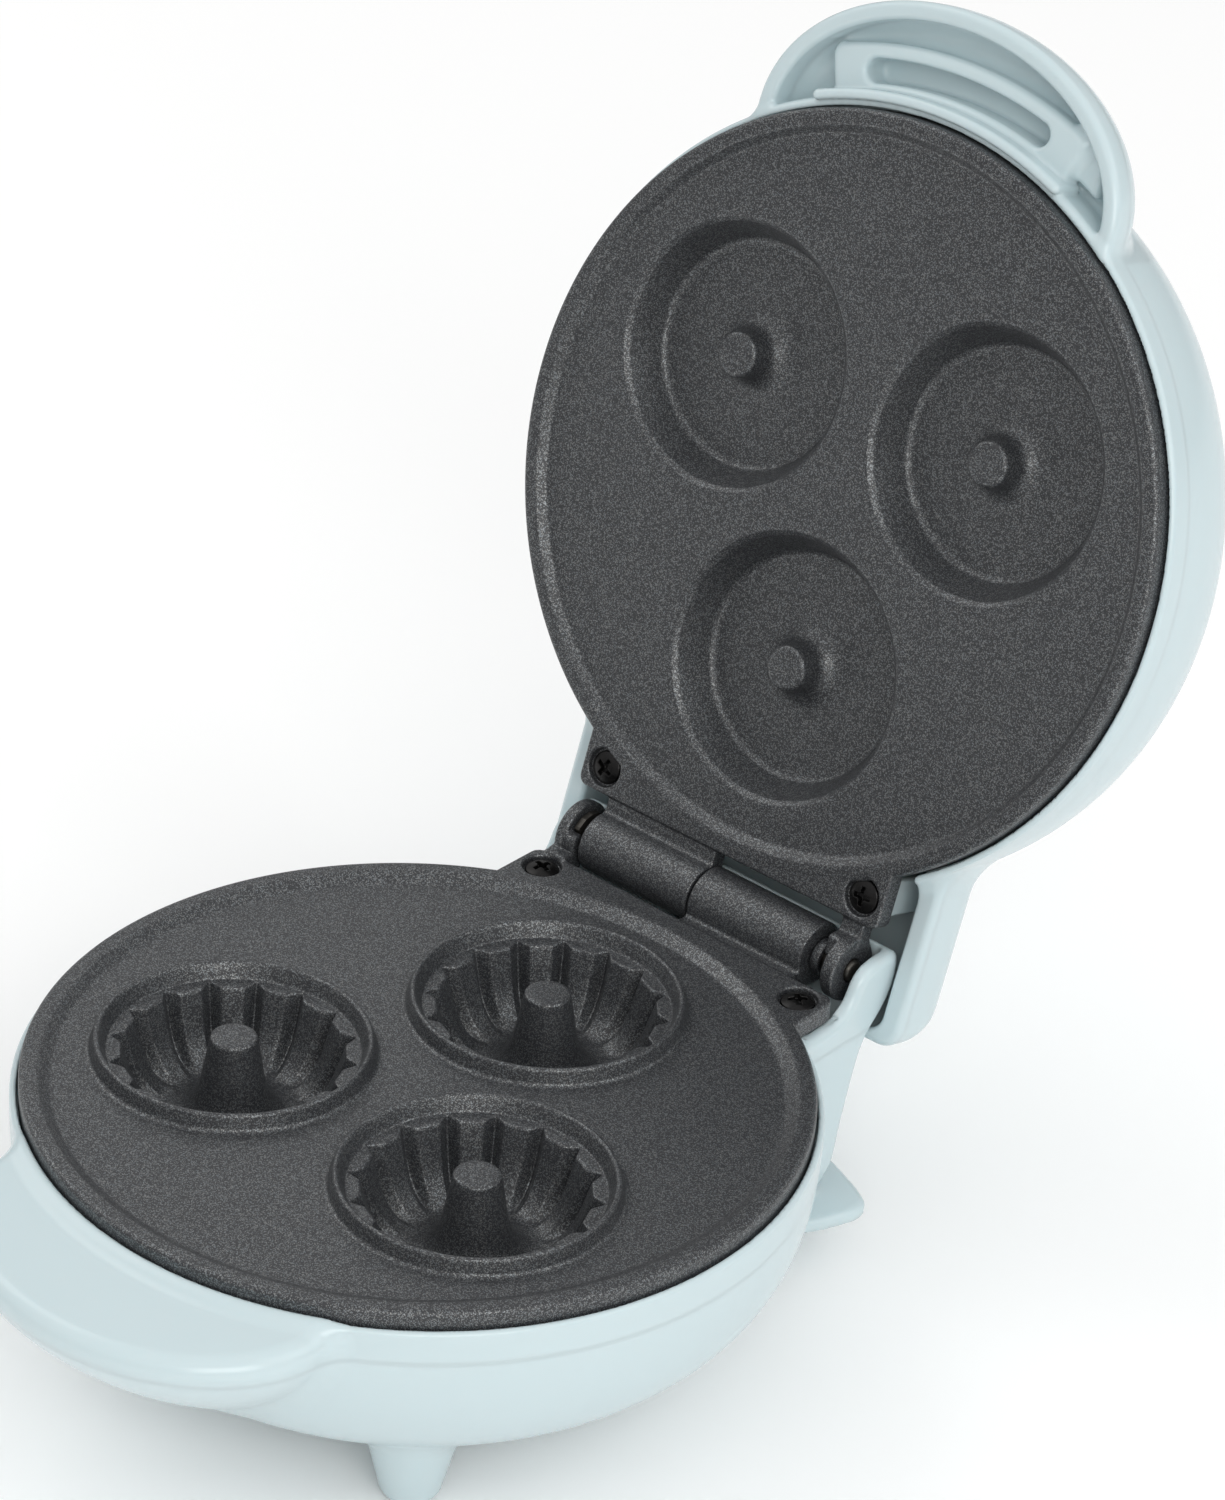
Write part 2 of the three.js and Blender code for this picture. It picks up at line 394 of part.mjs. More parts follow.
// ---------------------------------------------------------------- heaters and what holds them
function heaterPath(z, zEnd) {
  const pts = [];
  pts.push([HEATER_R * Math.cos(104 * D), HEATER_R * Math.sin(104 * D) - 1.0, zEnd]);
  pts.push([HEATER_R * Math.cos(104.5 * D), HEATER_R * Math.sin(104.5 * D) - 0.6, z + (zEnd - z) * 0.55]);
  for (let a = 109; a <= 431; a += 7) pts.push([HEATER_R * Math.cos(a * D), HEATER_R * Math.sin(a * D), z]);
  pts.push([HEATER_R * Math.cos(75.5 * D), HEATER_R * Math.sin(75.5 * D) - 0.6, z + (zEnd - z) * 0.55]);
  pts.push([HEATER_R * Math.cos(76 * D), HEATER_R * Math.sin(76 * D) - 1.0, zEnd]);
  return pts;
}
const baseHeater = tube(heaterPath(-8.0, -17.6), HEATER_TUBE, 56, 6);
const lidHeater = tube(heaterPath(8.2, 17.6), HEATER_TUBE, 56, 6);
function clamp(a, z0, z1) {
  const c = cut(box(46.6, 62.0, -4.2, 4.2, z0, z1), cylZ(1.6, 50.5, 0, z0 - 1, z1 + 1, 12));
  return c.rotate([0, 0, a]);
}
function smallScrew(x, y, zTop, dir, shank) { return screw(x, y, zTop, 2.6, 1.6, 1.2, shank, dir > 0, 10, false); }
const at = (r, a) => [r * Math.cos(a * D), r * Math.sin(a * D)];

function shield(zFlat, dir, posts) {
  let s = lathe([[0, zFlat], [53, zFlat], [59.6, zFlat - dir * 5.5], [60.5, zFlat - dir * 5.5], [53.6, zFlat + dir * 0.9], [0, zFlat + dir * 0.9]], 28);
  s = cut(s, box(-22, 22, 46, 66, Math.min(zFlat - dir * 8, zFlat + dir * 3), Math.max(zFlat - dir * 8, zFlat + dir * 3)),
    ...posts.map(([x, y]) => cylZ(1.6, x, y, zFlat - 3, zFlat + 3, 12)));
  return s;
}

// ---------------------------------------------------------------- the assembly
const root = new THREE.Group();
const base = new THREE.Group();
const lid = new THREE.Group();
root.add(base, lid);

const MAT = {
  shell: { color: 0xc9dcdf, roughness: 0.28, metalness: 0.0 },
  casting: { color: 0x3b3c3f, roughness: 0.55, metalness: 0.35 },
  screw: { color: 0x15151a, roughness: 0.35, metalness: 0.8 },
  steel: { color: 0x8f8f8c, roughness: 0.35, metalness: 0.9 },
  darksteel: { color: 0x2c2b2a, roughness: 0.45, metalness: 0.7 },
  sheath: { color: 0x5d5f5a, roughness: 0.5, metalness: 0.7 },
  tin: { color: 0xb7b9b8, roughness: 0.35, metalness: 0.9 },
  ceramic: { color: 0xe6e1d6, roughness: 0.7, metalness: 0.0 },
  rubber: { color: 0x4a4d50, roughness: 0.9, metalness: 0.0 },
  lens: { color: 0xb3361f, roughness: 0.2, metalness: 0.0 },
  sleeve: { color: 0xd8d2c0, roughness: 0.85, metalness: 0.0 },
};
const HINGE = new THREE.Vector3(0, HINGE_Y, HINGE_Z);
const openM = new THREE.Matrix4().makeTranslation(0, HINGE_Y, HINGE_Z)
  .multiply(new THREE.Matrix4().makeRotationX(-OPEN_DEG * D))
  .multiply(new THREE.Matrix4().makeTranslation(0, -HINGE_Y, -HINGE_Z));

function add(parent, name, s, mat) {
  const g = geometryOf(s);
  g.computeVertexNormals();
  const mesh = new THREE.Mesh(g, new THREE.MeshStandardMaterial(MAT[mat]));
  mesh.name = name;
  parent.add(mesh);
}

add(base, 'base_shell', baseShell, 'shell');
add(base, 'base_plate', basePlate, 'casting');
add(base, 'base_plate_screw_left', screw(-SCREW_X, SCREW_Y, 0.15, 3.05, 1.5, 1.15, 13), 'screw');
add(base, 'base_plate_screw_right', screw(SCREW_X, SCREW_Y, 0.15, 3.05, 1.5, 1.15, 13), 'screw');
add(base, 'base_heater', baseHeater, 'sheath');
for (const [tag, a] of [['right', 30], ['left', 150]]) {
  add(base, `base_heater_clamp_${tag}`, clamp(a, -12.7, -11.5), 'steel');
  const [x, y] = at(50.5, a);
  add(base, `base_clamp_screw_${tag}`, smallScrew(x, y, -14.6, -1, 6.5), 'screw');
}
add(base, 'base_thermostat', union(cylZ(7.2, 0, 0, -11.6, -4.6, 16), cylZ(5.4, 0, 0, -13.4, -11.6, 12), box(-1.2, 1.2, 3.2, 4.2, -17.4, -13.2), box(-1.2, 1.2, -4.2, -3.2, -17.4, -13.2)), 'ceramic');
add(base, 'base_thermal_fuse', cylX(2.1, 0, 0, -8, 8, 12).rotate([0, 0, 60]).translate([...at(42, 150), -7.0]), 'sleeve');
add(base, 'base_heat_shield', shield(-19.2, -1, shieldPosts), 'tin');
shieldPosts.forEach(([x, y], i) => add(base, `base_shield_screw_${i + 1}`, screw(x, y, -17.2, 2.6, 1.6, 1.1, 9, true, 10, false), 'screw'));
add(base, 'base_terminal_block', cut(box(-12, 12, 22.5, 33.5, -37.7, -28.5), cylY(1.6, -7, -33, 20, 36, 12), cylY(1.6, 0, -33, 20, 36, 12), cylY(1.6, 7, -33, 20, 36, 12)), 'ceramic');
for (const [tag, x, y] of feet) add(base, `foot_pad_${tag}`, lathe([[0, -RIM_H], [2.5, -RIM_H], [2.9, -RIM_H + 0.4], [2.9, -RIM_H + 1.3], [0, -RIM_H + 1.3]], 12, x, y), 'rubber');
add(base, 'hinge_pin', cylX(PIN_R, HINGE_Y, HINGE_Z, -31.9, 31.9, 16), 'steel');
add(base, 'hinge_washer_left', cut(cylX(4.7, HINGE_Y, HINGE_Z, -29.5, -28.4, 16), cylX(BORE_R, HINGE_Y, HINGE_Z, -35, -20, 12), box(-31, -28, 60, 72.0, -10, 4)), 'darksteel');
add(base, 'hinge_bush_right', cut(cylX(3.3, HINGE_Y, HINGE_Z, 24.3, 26.2, 16), cylX(BORE_R, HINGE_Y, HINGE_Z, 20, 30, 12)), 'darksteel');

add(lid, 'lid_shell', lidShell, 'shell');
add(lid, 'lid_plate', lidPlate, 'casting');
add(lid, 'lid_plate_screw_left', screw(-SCREW_X, SCREW_Y - 1, LID_GAP - 0.05, 3.05, 1.5, 1.15, 13, false), 'screw');
add(lid, 'lid_plate_screw_right', screw(SCREW_X, SCREW_Y - 1, LID_GAP - 0.05, 3.05, 1.5, 1.15, 13, false), 'screw');
add(lid, 'lid_heater', lidHeater, 'sheath');
for (const [tag, a] of [['right', 30], ['left', 150]]) {
  add(lid, `lid_heater_clamp_${tag}`, clamp(a, 11.7, 12.9), 'steel');
  const [x, y] = at(50.5, a);
  add(lid, `lid_clamp_screw_${tag}`, smallScrew(x, y, 14.8, 1, 6.3), 'screw');
}
add(lid, 'lid_thermal_fuse', cylX(2.1, 0, 0, -8, 8, 12).rotate([0, 0, 60]).translate([...at(42, 150), 7.2]), 'sleeve');
add(lid, 'lid_heat_shield', shield(18.8, 1, lidPosts), 'tin');
lidPosts.forEach(([x, y], i) => add(lid, `lid_shield_screw_${i + 1}`, screw(x, y, 16.9, 2.6, 1.6, 1.1, 9, false, 10, false), 'screw'));
add(lid, 'pilot_lens', union(cylZ(4.0, 0, -20, 38.4, 42.6, 16), cylZ(5.0, 0, -20, 38.3, 39.2, 16)), 'lens');
add(lid, 'neon_lamp', cylZ(2.2, 0, -20, 26.0, 37.9, 12), 'lens');

lid.applyMatrix4(openM);
root.updateMatrixWorld(true);

// stand the assembly on its feet, centred over the origin
const bounds = new THREE.Box3().setFromObject(root, true);
const shift = new THREE.Vector3(-(bounds.min.x + bounds.max.x) / 2, -(bounds.min.y + bounds.max.y) / 2, -bounds.min.z);
const placed = new THREE.Group();
placed.add(root);
root.position.add(shift);
placed.updateMatrixWorld(true);

export default placed;
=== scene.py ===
# Mini donut maker: detailed shells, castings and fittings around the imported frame.
# Lengths inside this file are millimetres in the layout frame of the part (centre of the lower plate,
# z = 0 on the top of its rim) and are turned into metres in the row frame when a mesh is made.
import json
import math
import bpy
import numpy as np
from mathutils import Matrix, Vector
from mathutils.geometry import tessellate_polygon


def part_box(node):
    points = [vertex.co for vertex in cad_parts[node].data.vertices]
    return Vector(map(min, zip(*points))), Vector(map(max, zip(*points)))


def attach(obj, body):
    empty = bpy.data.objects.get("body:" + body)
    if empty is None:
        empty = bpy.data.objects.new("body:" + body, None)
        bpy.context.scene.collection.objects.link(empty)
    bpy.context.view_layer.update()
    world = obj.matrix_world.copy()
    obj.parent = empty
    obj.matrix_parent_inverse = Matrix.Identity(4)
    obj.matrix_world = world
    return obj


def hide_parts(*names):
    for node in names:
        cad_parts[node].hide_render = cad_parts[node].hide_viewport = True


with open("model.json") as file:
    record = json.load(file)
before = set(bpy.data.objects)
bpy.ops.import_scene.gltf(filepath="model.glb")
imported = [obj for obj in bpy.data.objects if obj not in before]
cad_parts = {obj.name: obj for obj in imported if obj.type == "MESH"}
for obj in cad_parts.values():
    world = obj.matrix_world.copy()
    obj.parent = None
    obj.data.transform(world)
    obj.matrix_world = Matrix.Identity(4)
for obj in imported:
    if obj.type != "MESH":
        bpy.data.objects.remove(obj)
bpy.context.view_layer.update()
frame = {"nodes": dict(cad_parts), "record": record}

D = math.pi / 180
SHIFT = np.array([0.0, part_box("base_shell")[0].y * 1000 + 88.0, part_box("foot_pad_front_left")[0].z * 1000 + 50.0])
HY, HZ, OPEN = 75.02, 1.12, 107.84 * D


def place(v, lid):
    """layout frame (lid parts laid closed) in mm to row frame in m"""
    v = np.asarray(v, float)
    if lid:
        c, s = math.cos(OPEN), math.sin(OPEN)
        y, z = v[:, 1] - HY, v[:, 2] - HZ
        v = np.stack([v[:, 0], HY + y * c + z * s, HZ - y * s + z * c], 1)
    return (v + SHIFT) / 1000


def turn(n, lid):
    if not lid:
        return n
    c, s = math.cos(OPEN), math.sin(OPEN)
    return np.stack([n[:, 0], n[:, 1] * c + n[:, 2] * s, -n[:, 1] * s + n[:, 2] * c], 1)


# ------------------------------------------------------------------ meshes
class Parts:
    """collects patches of one piece"""

    def __init__(self):
        self.v, self.n, self.q, self.t, self.count = [], [], [], [], 0

    def add(self, v, n, quads=None, tris=None):
        self.v.append(np.asarray(v, float)); self.n.append(np.asarray(n, float))
        if quads is not None and len(quads):
            self.q.append(np.asarray(quads) + self.count)
        if tris is not None and len(tris):
            self.t.append(np.asarray(tris) + self.count)
        self.count += len(v)
        return self

    def make(self, name, lid, mat, body, nodes=(), slot=None, weld=True):
        v = place(np.concatenate(self.v), lid)
        n = turn(np.concatenate(self.n), lid)
        q = np.concatenate(self.q) if self.q else np.zeros((0, 4), int)
        t = np.concatenate(self.t) if self.t else np.zeros((0, 3), int)
        if weld:
            key = np.round(v * 1e7).astype(np.int64)
            _, first, inv = np.unique(key, axis=0, return_index=True, return_inverse=True)
            inv = inv.ravel()
            acc = np.zeros((len(first), 3)); np.add.at(acc, inv, n)
            v, n, q, t = v[first], acc, inv[q], inv[t]
            bad = np.array([len(set(f)) < 4 for f in q.tolist()]) if len(q) else np.zeros(0, bool)
            for f in q[bad].tolist():
                u = list(dict.fromkeys(f))
                if len(u) == 3:
                    t = np.concatenate([t, [u]])
            q = q[~bad]
            if len(t):
                ok = (t[:, 0] != t[:, 1]) & (t[:, 1] != t[:, 2]) & (t[:, 0] != t[:, 2])
                t = t[ok]
        n = n / np.maximum(np.linalg.norm(n, axis=1, keepdims=True), 1e-12)
        me = bpy.data.meshes.new(name)
        me.vertices.add(len(v)); me.vertices.foreach_set("co", v.astype(np.float32).ravel())
        idx = np.concatenate([q.ravel(), t.ravel()]).astype(np.int32)
        me.loops.add(len(idx)); me.loops.foreach_set("vertex_index", idx)
        me.polygons.add(len(q) + len(t))
        me.polygons.foreach_set("loop_start", np.concatenate([np.arange(len(q)) * 4, len(q) * 4 + np.arange(len(t)) * 3]).astype(np.int32))
        me.update(calc_edges=True)
        me.validate()
        me.polygons.foreach_set("use_smooth", np.ones(len(me.polygons), bool))
        if len(me.vertices) == len(n):
            me.normals_split_custom_set_from_vertices(n.tolist())
        o = bpy.data.objects.new(name, me)
        bpy.context.scene.collection.objects.link(o)
        me.materials.append(mat)
        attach(o, body)
        if nodes:
            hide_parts(*nodes)
        return o


def grid_patch(P, closed_u=True):
    """P[i, j] points; j runs round. Returns vertices, normals, quads."""
    ni, nj = P.shape[:2]
    if closed_u:
        dj = np.roll(P, -1, 1) - np.roll(P, 1, 1)
    else:
        dj = np.gradient(P, axis=1)
    di = np.empty_like(P)
    di[1:-1] = P[2:] - P[:-2]; di[0] = P[1] - P[0]; di[-1] = P[-1] - P[-2]
    # unit steps on both sides, so that a short fillet step is not swamped by a long flat one
    f = P[1:] - P[:-1]
    f = f / np.maximum(np.linalg.norm(f, axis=2, keepdims=True), 1e-9)
    L = np.linalg.norm(P[1:] - P[:-1], axis=2, keepdims=True)
    di[1:-1] = f[1:] * L[1:] ** 0.5 + f[:-1] * L[:-1] ** 0.5
    N = np.cross(di, dj)
    a = np.arange(ni * nj).reshape(ni, nj)
    if closed_u:
        b = np.roll(a, -1, 1)
        q = np.stack([a[:-1], a[1:], b[1:], b[:-1]], -1).reshape(-1, 4)
    else:
        q = np.stack([a[:-1, :-1], a[1:, :-1], a[1:, 1:], a[:-1, 1:]], -1).reshape(-1, 4)
    return P.reshape(-1, 3), N.reshape(-1, 3), q


def ring(prof, seg, x=0.0, y=0.0, flip=False):
    """revolved open profile of [r, z]; normals to the left of its run unless flip"""
    prof = np.array(prof, float)
    a = np.arange(seg) * 2 * math.pi / seg
    P = np.stack([x + prof[:, None, 0] * np.cos(a), y + prof[:, None, 0] * np.sin(a), np.repeat(prof[:, 1:2], seg, 1)], -1)
    v, n, q = grid_patch(P)
    pole = np.linalg.norm(n, axis=1) < 1e-9
    n[pole] = 0
    n = n / np.maximum(np.linalg.norm(n, axis=1, keepdims=True), 1e-12)
    # poles take their neighbour's vertical normal
    for i in (0, len(prof) - 1):
        if prof[i, 0] < 1e-9:
            j = 1 if i == 0 else len(prof) - 2
            z = n.reshape(len(prof), seg, 3)[j, :, 2].mean()
            n.reshape(len(prof), seg, 3)[i] = [0, 0, 1.0 if z > 0 else -1.0]
    if flip:
        n, q = -n, q[:, ::-1]
    return v, n, q


def flat(outer, holes, z, up=True):
    """flat face with holes; outer and holes are [x, y] loops"""
    loops = [[Vector((p[0], p[1], 0)) for p in L] for L in [outer] + list(holes)]
    tri = np.array(tessellate_polygon(loops))
    pts = np.concatenate([np.asarray(L, float) for L in [outer] + list(holes)])
    v = np.column_stack([pts, np.full(len(pts), z)])
    a, b, c = (v[tri[:, k]] for k in range(3))
    area = np.cross(b - a, c - a)[:, 2]
    tri = tri[np.abs(area) > 1e-9]; area = area[np.abs(area) > 1e-9]
    wrong = (area > 0) != up
    tri[wrong] = tri[wrong][:, ::-1]
    return v, np.tile([0, 0, 1.0 if up else -1.0], (len(v), 1)), tri


def circle(r, seg, x=0.0, y=0.0):
    a = np.arange(seg) * 2 * math.pi / seg
    return np.stack([x + r * np.cos(a), y + r * np.sin(a)], 1)


# ------------------------------------------------------------------ distance fields
def smin(a, b, r):
    """union with a round fillet of radius r"""
    return np.maximum(r, np.minimum(a, b)) - np.hypot(np.maximum(r - a, 0), np.maximum(r - b, 0))


def smax(a, b, r):
    """intersection with its edge rounded to radius r"""
    return np.minimum(-r, np.maximum(a, b)) + np.hypot(np.maximum(r + a, 0), np.maximum(r + b, 0))


def less(a, b, r):
    return smax(a, -b, r)


def slab(v, lo, hi):
    return np.abs(v - (lo + hi) / 2) - (hi - lo) / 2


def block(x, y, z, x0, x1, y0, y1, z0, z1, r=0.3):
    return smax(smax(slab(x, x0, x1), slab(y, y0, y1), r), slab(z, z0, z1), r)


def rodx(x, y, z, rad, cy, cz, x0, x1, r=0.3):
    return smax(np.hypot(y - cy, z - cz) - rad, slab(x, x0, x1), r)


def rodz(x, y, z, rad, cx, cy, z0, z1, r=0.3):
    return smax(np.hypot(x - cx, y - cy) - rad, slab(z, z0, z1), r)


def chaikin(pts, times, closed=True):
    p = np.array(pts, float)
    for _ in range(times):
        q = np.roll(p, -1, 0)
        a, b = 0.75 * p + 0.25 * q, 0.25 * p + 0.75 * q
        if not closed:
            a, b = a[:-1], b[:-1]
            p = np.concatenate([p[:1], np.stack([a, b], 1).reshape(-1, 2), p[-1:]])
        else:
            p = np.stack([a, b], 1).reshape(-1, 2)
    return p


def polygon(px, py, pts):
    d = np.full(px.shape, 1e18); inside = np.zeros(px.shape, bool)
    for i in range(len(pts)):
        a, b = pts[i - 1], pts[i]
        ex, ey = b - a
        wx, wy = px - a[0], py - a[1]
        t = np.clip((wx * ex + wy * ey) / max(ex * ex + ey * ey, 1e-12), 0, 1)
        d = np.minimum(d, (wx - ex * t) ** 2 + (wy - ey * t) ** 2)
        if a[1] != b[1]:
            inside ^= ((a[1] > py) != (b[1] > py)) & (px < ex * wy / ey + a[0])
    return np.where(inside, -1, 1) * np.sqrt(d)


class Outline:
    """distance to a closed outline, from a softened table"""

    def __init__(self, pts, smooth=0, soft=0.0, step=0.2, pad=8.0):
        pts = chaikin(pts, smooth) if smooth else np.array(pts, float)
        self.lo, self.hi, self.step = pts.min(0) - pad, pts.max(0) + pad, step
        us = np.arange(self.lo[0], self.hi[0] + step, step); vs = np.arange(self.lo[1], self.hi[1] + step, step)
        U, V = np.meshgrid(us, vs, indexing="ij")
        d = polygon(U, V, pts)
        if soft:
            k = int(3 * soft / step) + 1
            w = np.exp(-0.5 * (np.arange(-k, k + 1) * step / soft) ** 2); w /= w.sum()
            e = np.pad(d, k, mode="edge")
            e = sum(w[i] * e[i:i + d.shape[0], :] for i in range(2 * k + 1))
            d = sum(w[i] * e[:, i:i + d.shape[1]] for i in range(2 * k + 1))
        self.d = d

    def __call__(self, u, v):
        n, m = self.d.shape
        fu, fv = (u - self.lo[0]) / self.step, (v - self.lo[1]) / self.step
        cu, cv = np.clip(fu, 0, n - 1.001), np.clip(fv, 0, m - 1.001)
        over = np.hypot(fu - cu, fv - cv) * self.step
        i, j = cu.astype(int), cv.astype(int)
        a, b = cu - i, cv - j
        g = self.d
        return (g[i, j] * (1 - a) * (1 - b) + g[i + 1, j] * a * (1 - b) + g[i, j + 1] * (1 - a) * b + g[i + 1, j + 1] * a * b) + over


class Cap:
    """smooth body of revolution, star-shaped about (0, c), opening up (+1) or down (-1)"""

    def __init__(self, pts, c, up, terms=7):
        p = chaikin(pts, 3, closed=False)
        r, h = p[:, 0], up * (p[:, 1] - c)
        a, rho = np.arctan2(r, h), np.hypot(r, h)
        self.k = np.linalg.lstsq(np.cos(2 * np.outer(a, np.arange(terms))), rho, rcond=None)[0]
        self.c, self.up = c, up
        self.R = float((self.k * np.cos(math.pi * np.arange(terms))).sum())
        s = max(1.0, self.R / pts[-1][0])
        self.k /= s; self.R /= s

    def __call__(self, r, z):
        h = self.up * (z - self.c)
        a = np.arctan2(r, np.maximum(h, 0))
        rho = np.zeros_like(a); slope = np.zeros_like(a)
        for i, k in enumerate(self.k):
            rho += k * np.cos(2 * i * a); slope -= 2 * i * k * np.sin(2 * i * a)
        d = (np.hypot(r, h) - rho) * rho / np.hypot(rho, slope)
        return np.where(h < 0, r - self.R, d)


def axis_steps(pieces):
    """pieces: [start, (end, step), (end, step) ...]"""
    out, at = [pieces[0]], pieces[0]
    for end, step in pieces[1:]:
        n = max(1, int(round((end - at) / step)))
        out += list(at + (end - at) * (np.arange(n) + 1) / n)
        at = end
    return np.array(out, float)


def net(f, xs, ys, zs, snap=3, clip=None, soft=0.12):
    """the surface f = 0 as quads on a graded grid; vertices are moved onto the surface"""
    nx, ny, nz = len(xs), len(ys), len(zs)
    B = 6
    F = np.empty((nx, ny, nz))
    starts = [np.arange(0, n, B) for n in (nx, ny, nz)]
    ends = [np.minimum(s + B, n - 1) for s, n in zip(starts, (nx, ny, nz))]
    cen = [(a[s] + a[e]) / 2 for a, s, e in zip((xs, ys, zs), starts, ends)]
    half = [(a[e] - a[s]) / 2 for a, s, e in zip((xs, ys, zs), starts, ends)]
    CX, CY, CZ = np.meshgrid(*cen, indexing="ij")
    HX, HYy, HZz = np.meshgrid(*half, indexing="ij")
    cd = f(CX.ravel(), CY.ravel(), CZ.ravel()).reshape(CX.shape)
    near = np.abs(cd) < 1.45 * np.sqrt(HX ** 2 + HYy ** 2 + HZz ** 2) + 1.6
    up = lambda m: np.repeat(np.repeat(np.repeat(m, B, 0), B, 1), B, 2)[:nx, :ny, :nz]
    mask, F = up(near), up(np.where(near, 0.0, np.sign(cd) * 99.0))
    I, J, K = np.nonzero(mask)
    vals = np.empty(len(I))
    for s in range(0, len(I), 400000):
        e = slice(s, s + 400000)
        vals[e] = f(xs[I[e]], ys[J[e]], zs[K[e]])
    F[I, J, K] = vals
    inside = F < 0
    tot = sum(inside[a:nx - 1 + a, b:ny - 1 + b, c:nz - 1 + c].astype(np.int8) for a in (0, 1) for b in (0, 1) for c in (0, 1))
    active = (tot > 0) & (tot < 8)
    ids = -np.ones(active.shape, int)
    ci, cj, ck = np.nonzero(active)
    ids[ci, cj, ck] = np.arange(len(ci))
    pos, cnt = np.zeros((len(ci), 3)), np.zeros(len(ci))
    corners = [(a, b, c) for a in (0, 1) for b in (0, 1) for c in (0, 1)]
    for p in corners:
        for ax in range(3):
            if p[ax]:
                continue
            q = list(p); q[ax] = 1
            fa, fb = F[ci + p[0], cj + p[1], ck + p[2]], F[ci + q[0], cj + q[1], ck + q[2]]
            cross = (fa < 0) != (fb < 0)
            t = np.where(cross, fa / np.where(cross, fa - fb, 1), 0)
            A = np.stack([xs[ci + p[0]], ys[cj + p[1]], zs[ck + p[2]]], 1)
            Bb = np.stack([xs[ci + q[0]], ys[cj + q[1]], zs[ck + q[2]]], 1)
            pos += np.where(cross[:, None], A + (Bb - A) * t[:, None], 0); cnt += cross
    pos /= cnt[:, None]
    quads = []
    for ax in range(3):
        o1, o2 = [(1, 2), (2, 0), (0, 1)][ax]
        sl0 = [slice(None)] * 3; sl1 = [slice(None)] * 3
        sl0[ax] = slice(0, -1); sl1[ax] = slice(1, None)
        for sl in (sl0, sl1):
            sl[o1] = slice(1, -1); sl[o2] = slice(1, -1)
        a, b = inside[tuple(sl0)], inside[tuple(sl1)]
        ii = np.array(np.nonzero(a != b)).T
        if not len(ii):
            continue
        sgn = a[tuple(ii.T)]
        base = ii.copy(); base[:, o1] += 1; base[:, o2] += 1
        def cell(d1, d2):
            c = base.copy(); c[:, o1] -= d1; c[:, o2] -= d2
            return ids[c[:, 0], c[:, 1], c[:, 2]]
        q = np.stack([cell(1, 1), cell(0, 1), cell(0, 0), cell(1, 0)], 1)
        q[~sgn] = q[~sgn][:, ::-1]
        quads.append(q)
    quads = np.concatenate(quads)
    quads = quads[(quads >= 0).all(1)]

    def grad(p, e):
        g = np.empty_like(p)
        for k in range(3):
            d = np.zeros(3); d[k] = e
            a, b = p + d, p - d
            g[:, k] = f(a[:, 0], a[:, 1], a[:, 2]) - f(b[:, 0], b[:, 1], b[:, 2])
        return g / (2 * e)
    start = pos.copy()
    for _ in range(snap):
        d = f(pos[:, 0], pos[:, 1], pos[:, 2]); g = grad(pos, 0.04)
        g2 = np.maximum((g * g).sum(1), 0.15)
        step = np.clip(d / g2, -0.35, 0.35)[:, None] * g
        pos = pos - step
        off = pos - start
        L = np.linalg.norm(off, axis=1, keepdims=True)
        pos = start + off * np.minimum(1, 0.8 / np.maximum(L, 1e-9))
    N = grad(pos, soft)
    return pos, N, quads


# ------------------------------------------------------------------ materials
def principled(name):
    m = bpy.data.materials.new(name)
    m.use_nodes = True
    nt = m.node_tree
    nt.nodes.clear()
    out = nt.nodes.new("ShaderNodeOutputMaterial")
    b = nt.nodes.new("ShaderNodeBsdfPrincipled")
    nt.links.new(b.outputs[0], out.inputs[0])
    return m, nt, b


def noise(nt, scale, detail=3.0, rough=0.55, coord=None):
    c = coord or nt.nodes.new("ShaderNodeTexCoord")
    t = nt.nodes.new("ShaderNodeTexNoise")
    t.inputs["Scale"].default_value = scale
    t.inputs["Detail"].default_value = detail
    t.inputs["Roughness"].default_value = rough
    nt.links.new(c.outputs["Object"], t.inputs["Vector"])
    return t, c


def ramp(nt, src, stops):
    r = nt.nodes.new("ShaderNodeValToRGB")
    e = r.color_ramp.elements
    while len(e) < len(stops):
        e.new(0.5)
    for k, (p, c) in zip(e, stops):
        k.position = p
        k.color = (c if len(c) == 4 else (*c, 1)) if isinstance(c, (tuple, list)) else (c, c, c, 1)
    nt.links.new(src, r.inputs[0])
    return r


def mix(nt, fac, a, b, kind="MIX"):
    m = nt.nodes.new("ShaderNodeMix")
    m.data_type = "RGBA"; m.blend_type = kind
    for sock, val in ((m.inputs[0], fac), (m.inputs[6], a), (m.inputs[7], b)):
        if hasattr(val, "is_linked") or hasattr(val, "links"):
            nt.links.new(val, sock)
        elif isinstance(val, (int, float)):
            sock.default_value = val
        else:
            sock.default_value = (*val, 1) if len(val) == 3 else val
    return m.outputs[2]


def bump(nt, b, src, strength, dist, before=None):
    n = nt.nodes.new("ShaderNodeBump")
    n.inputs["Strength"].default_value = strength
    n.inputs["Distance"].default_value = dist
    nt.links.new(src, n.inputs["Height"])
    if before is not None:
        nt.links.new(before, n.inputs["Normal"])
    nt.links.new(n.outputs[0], b.inputs["Normal"])
    return n.outputs[0]


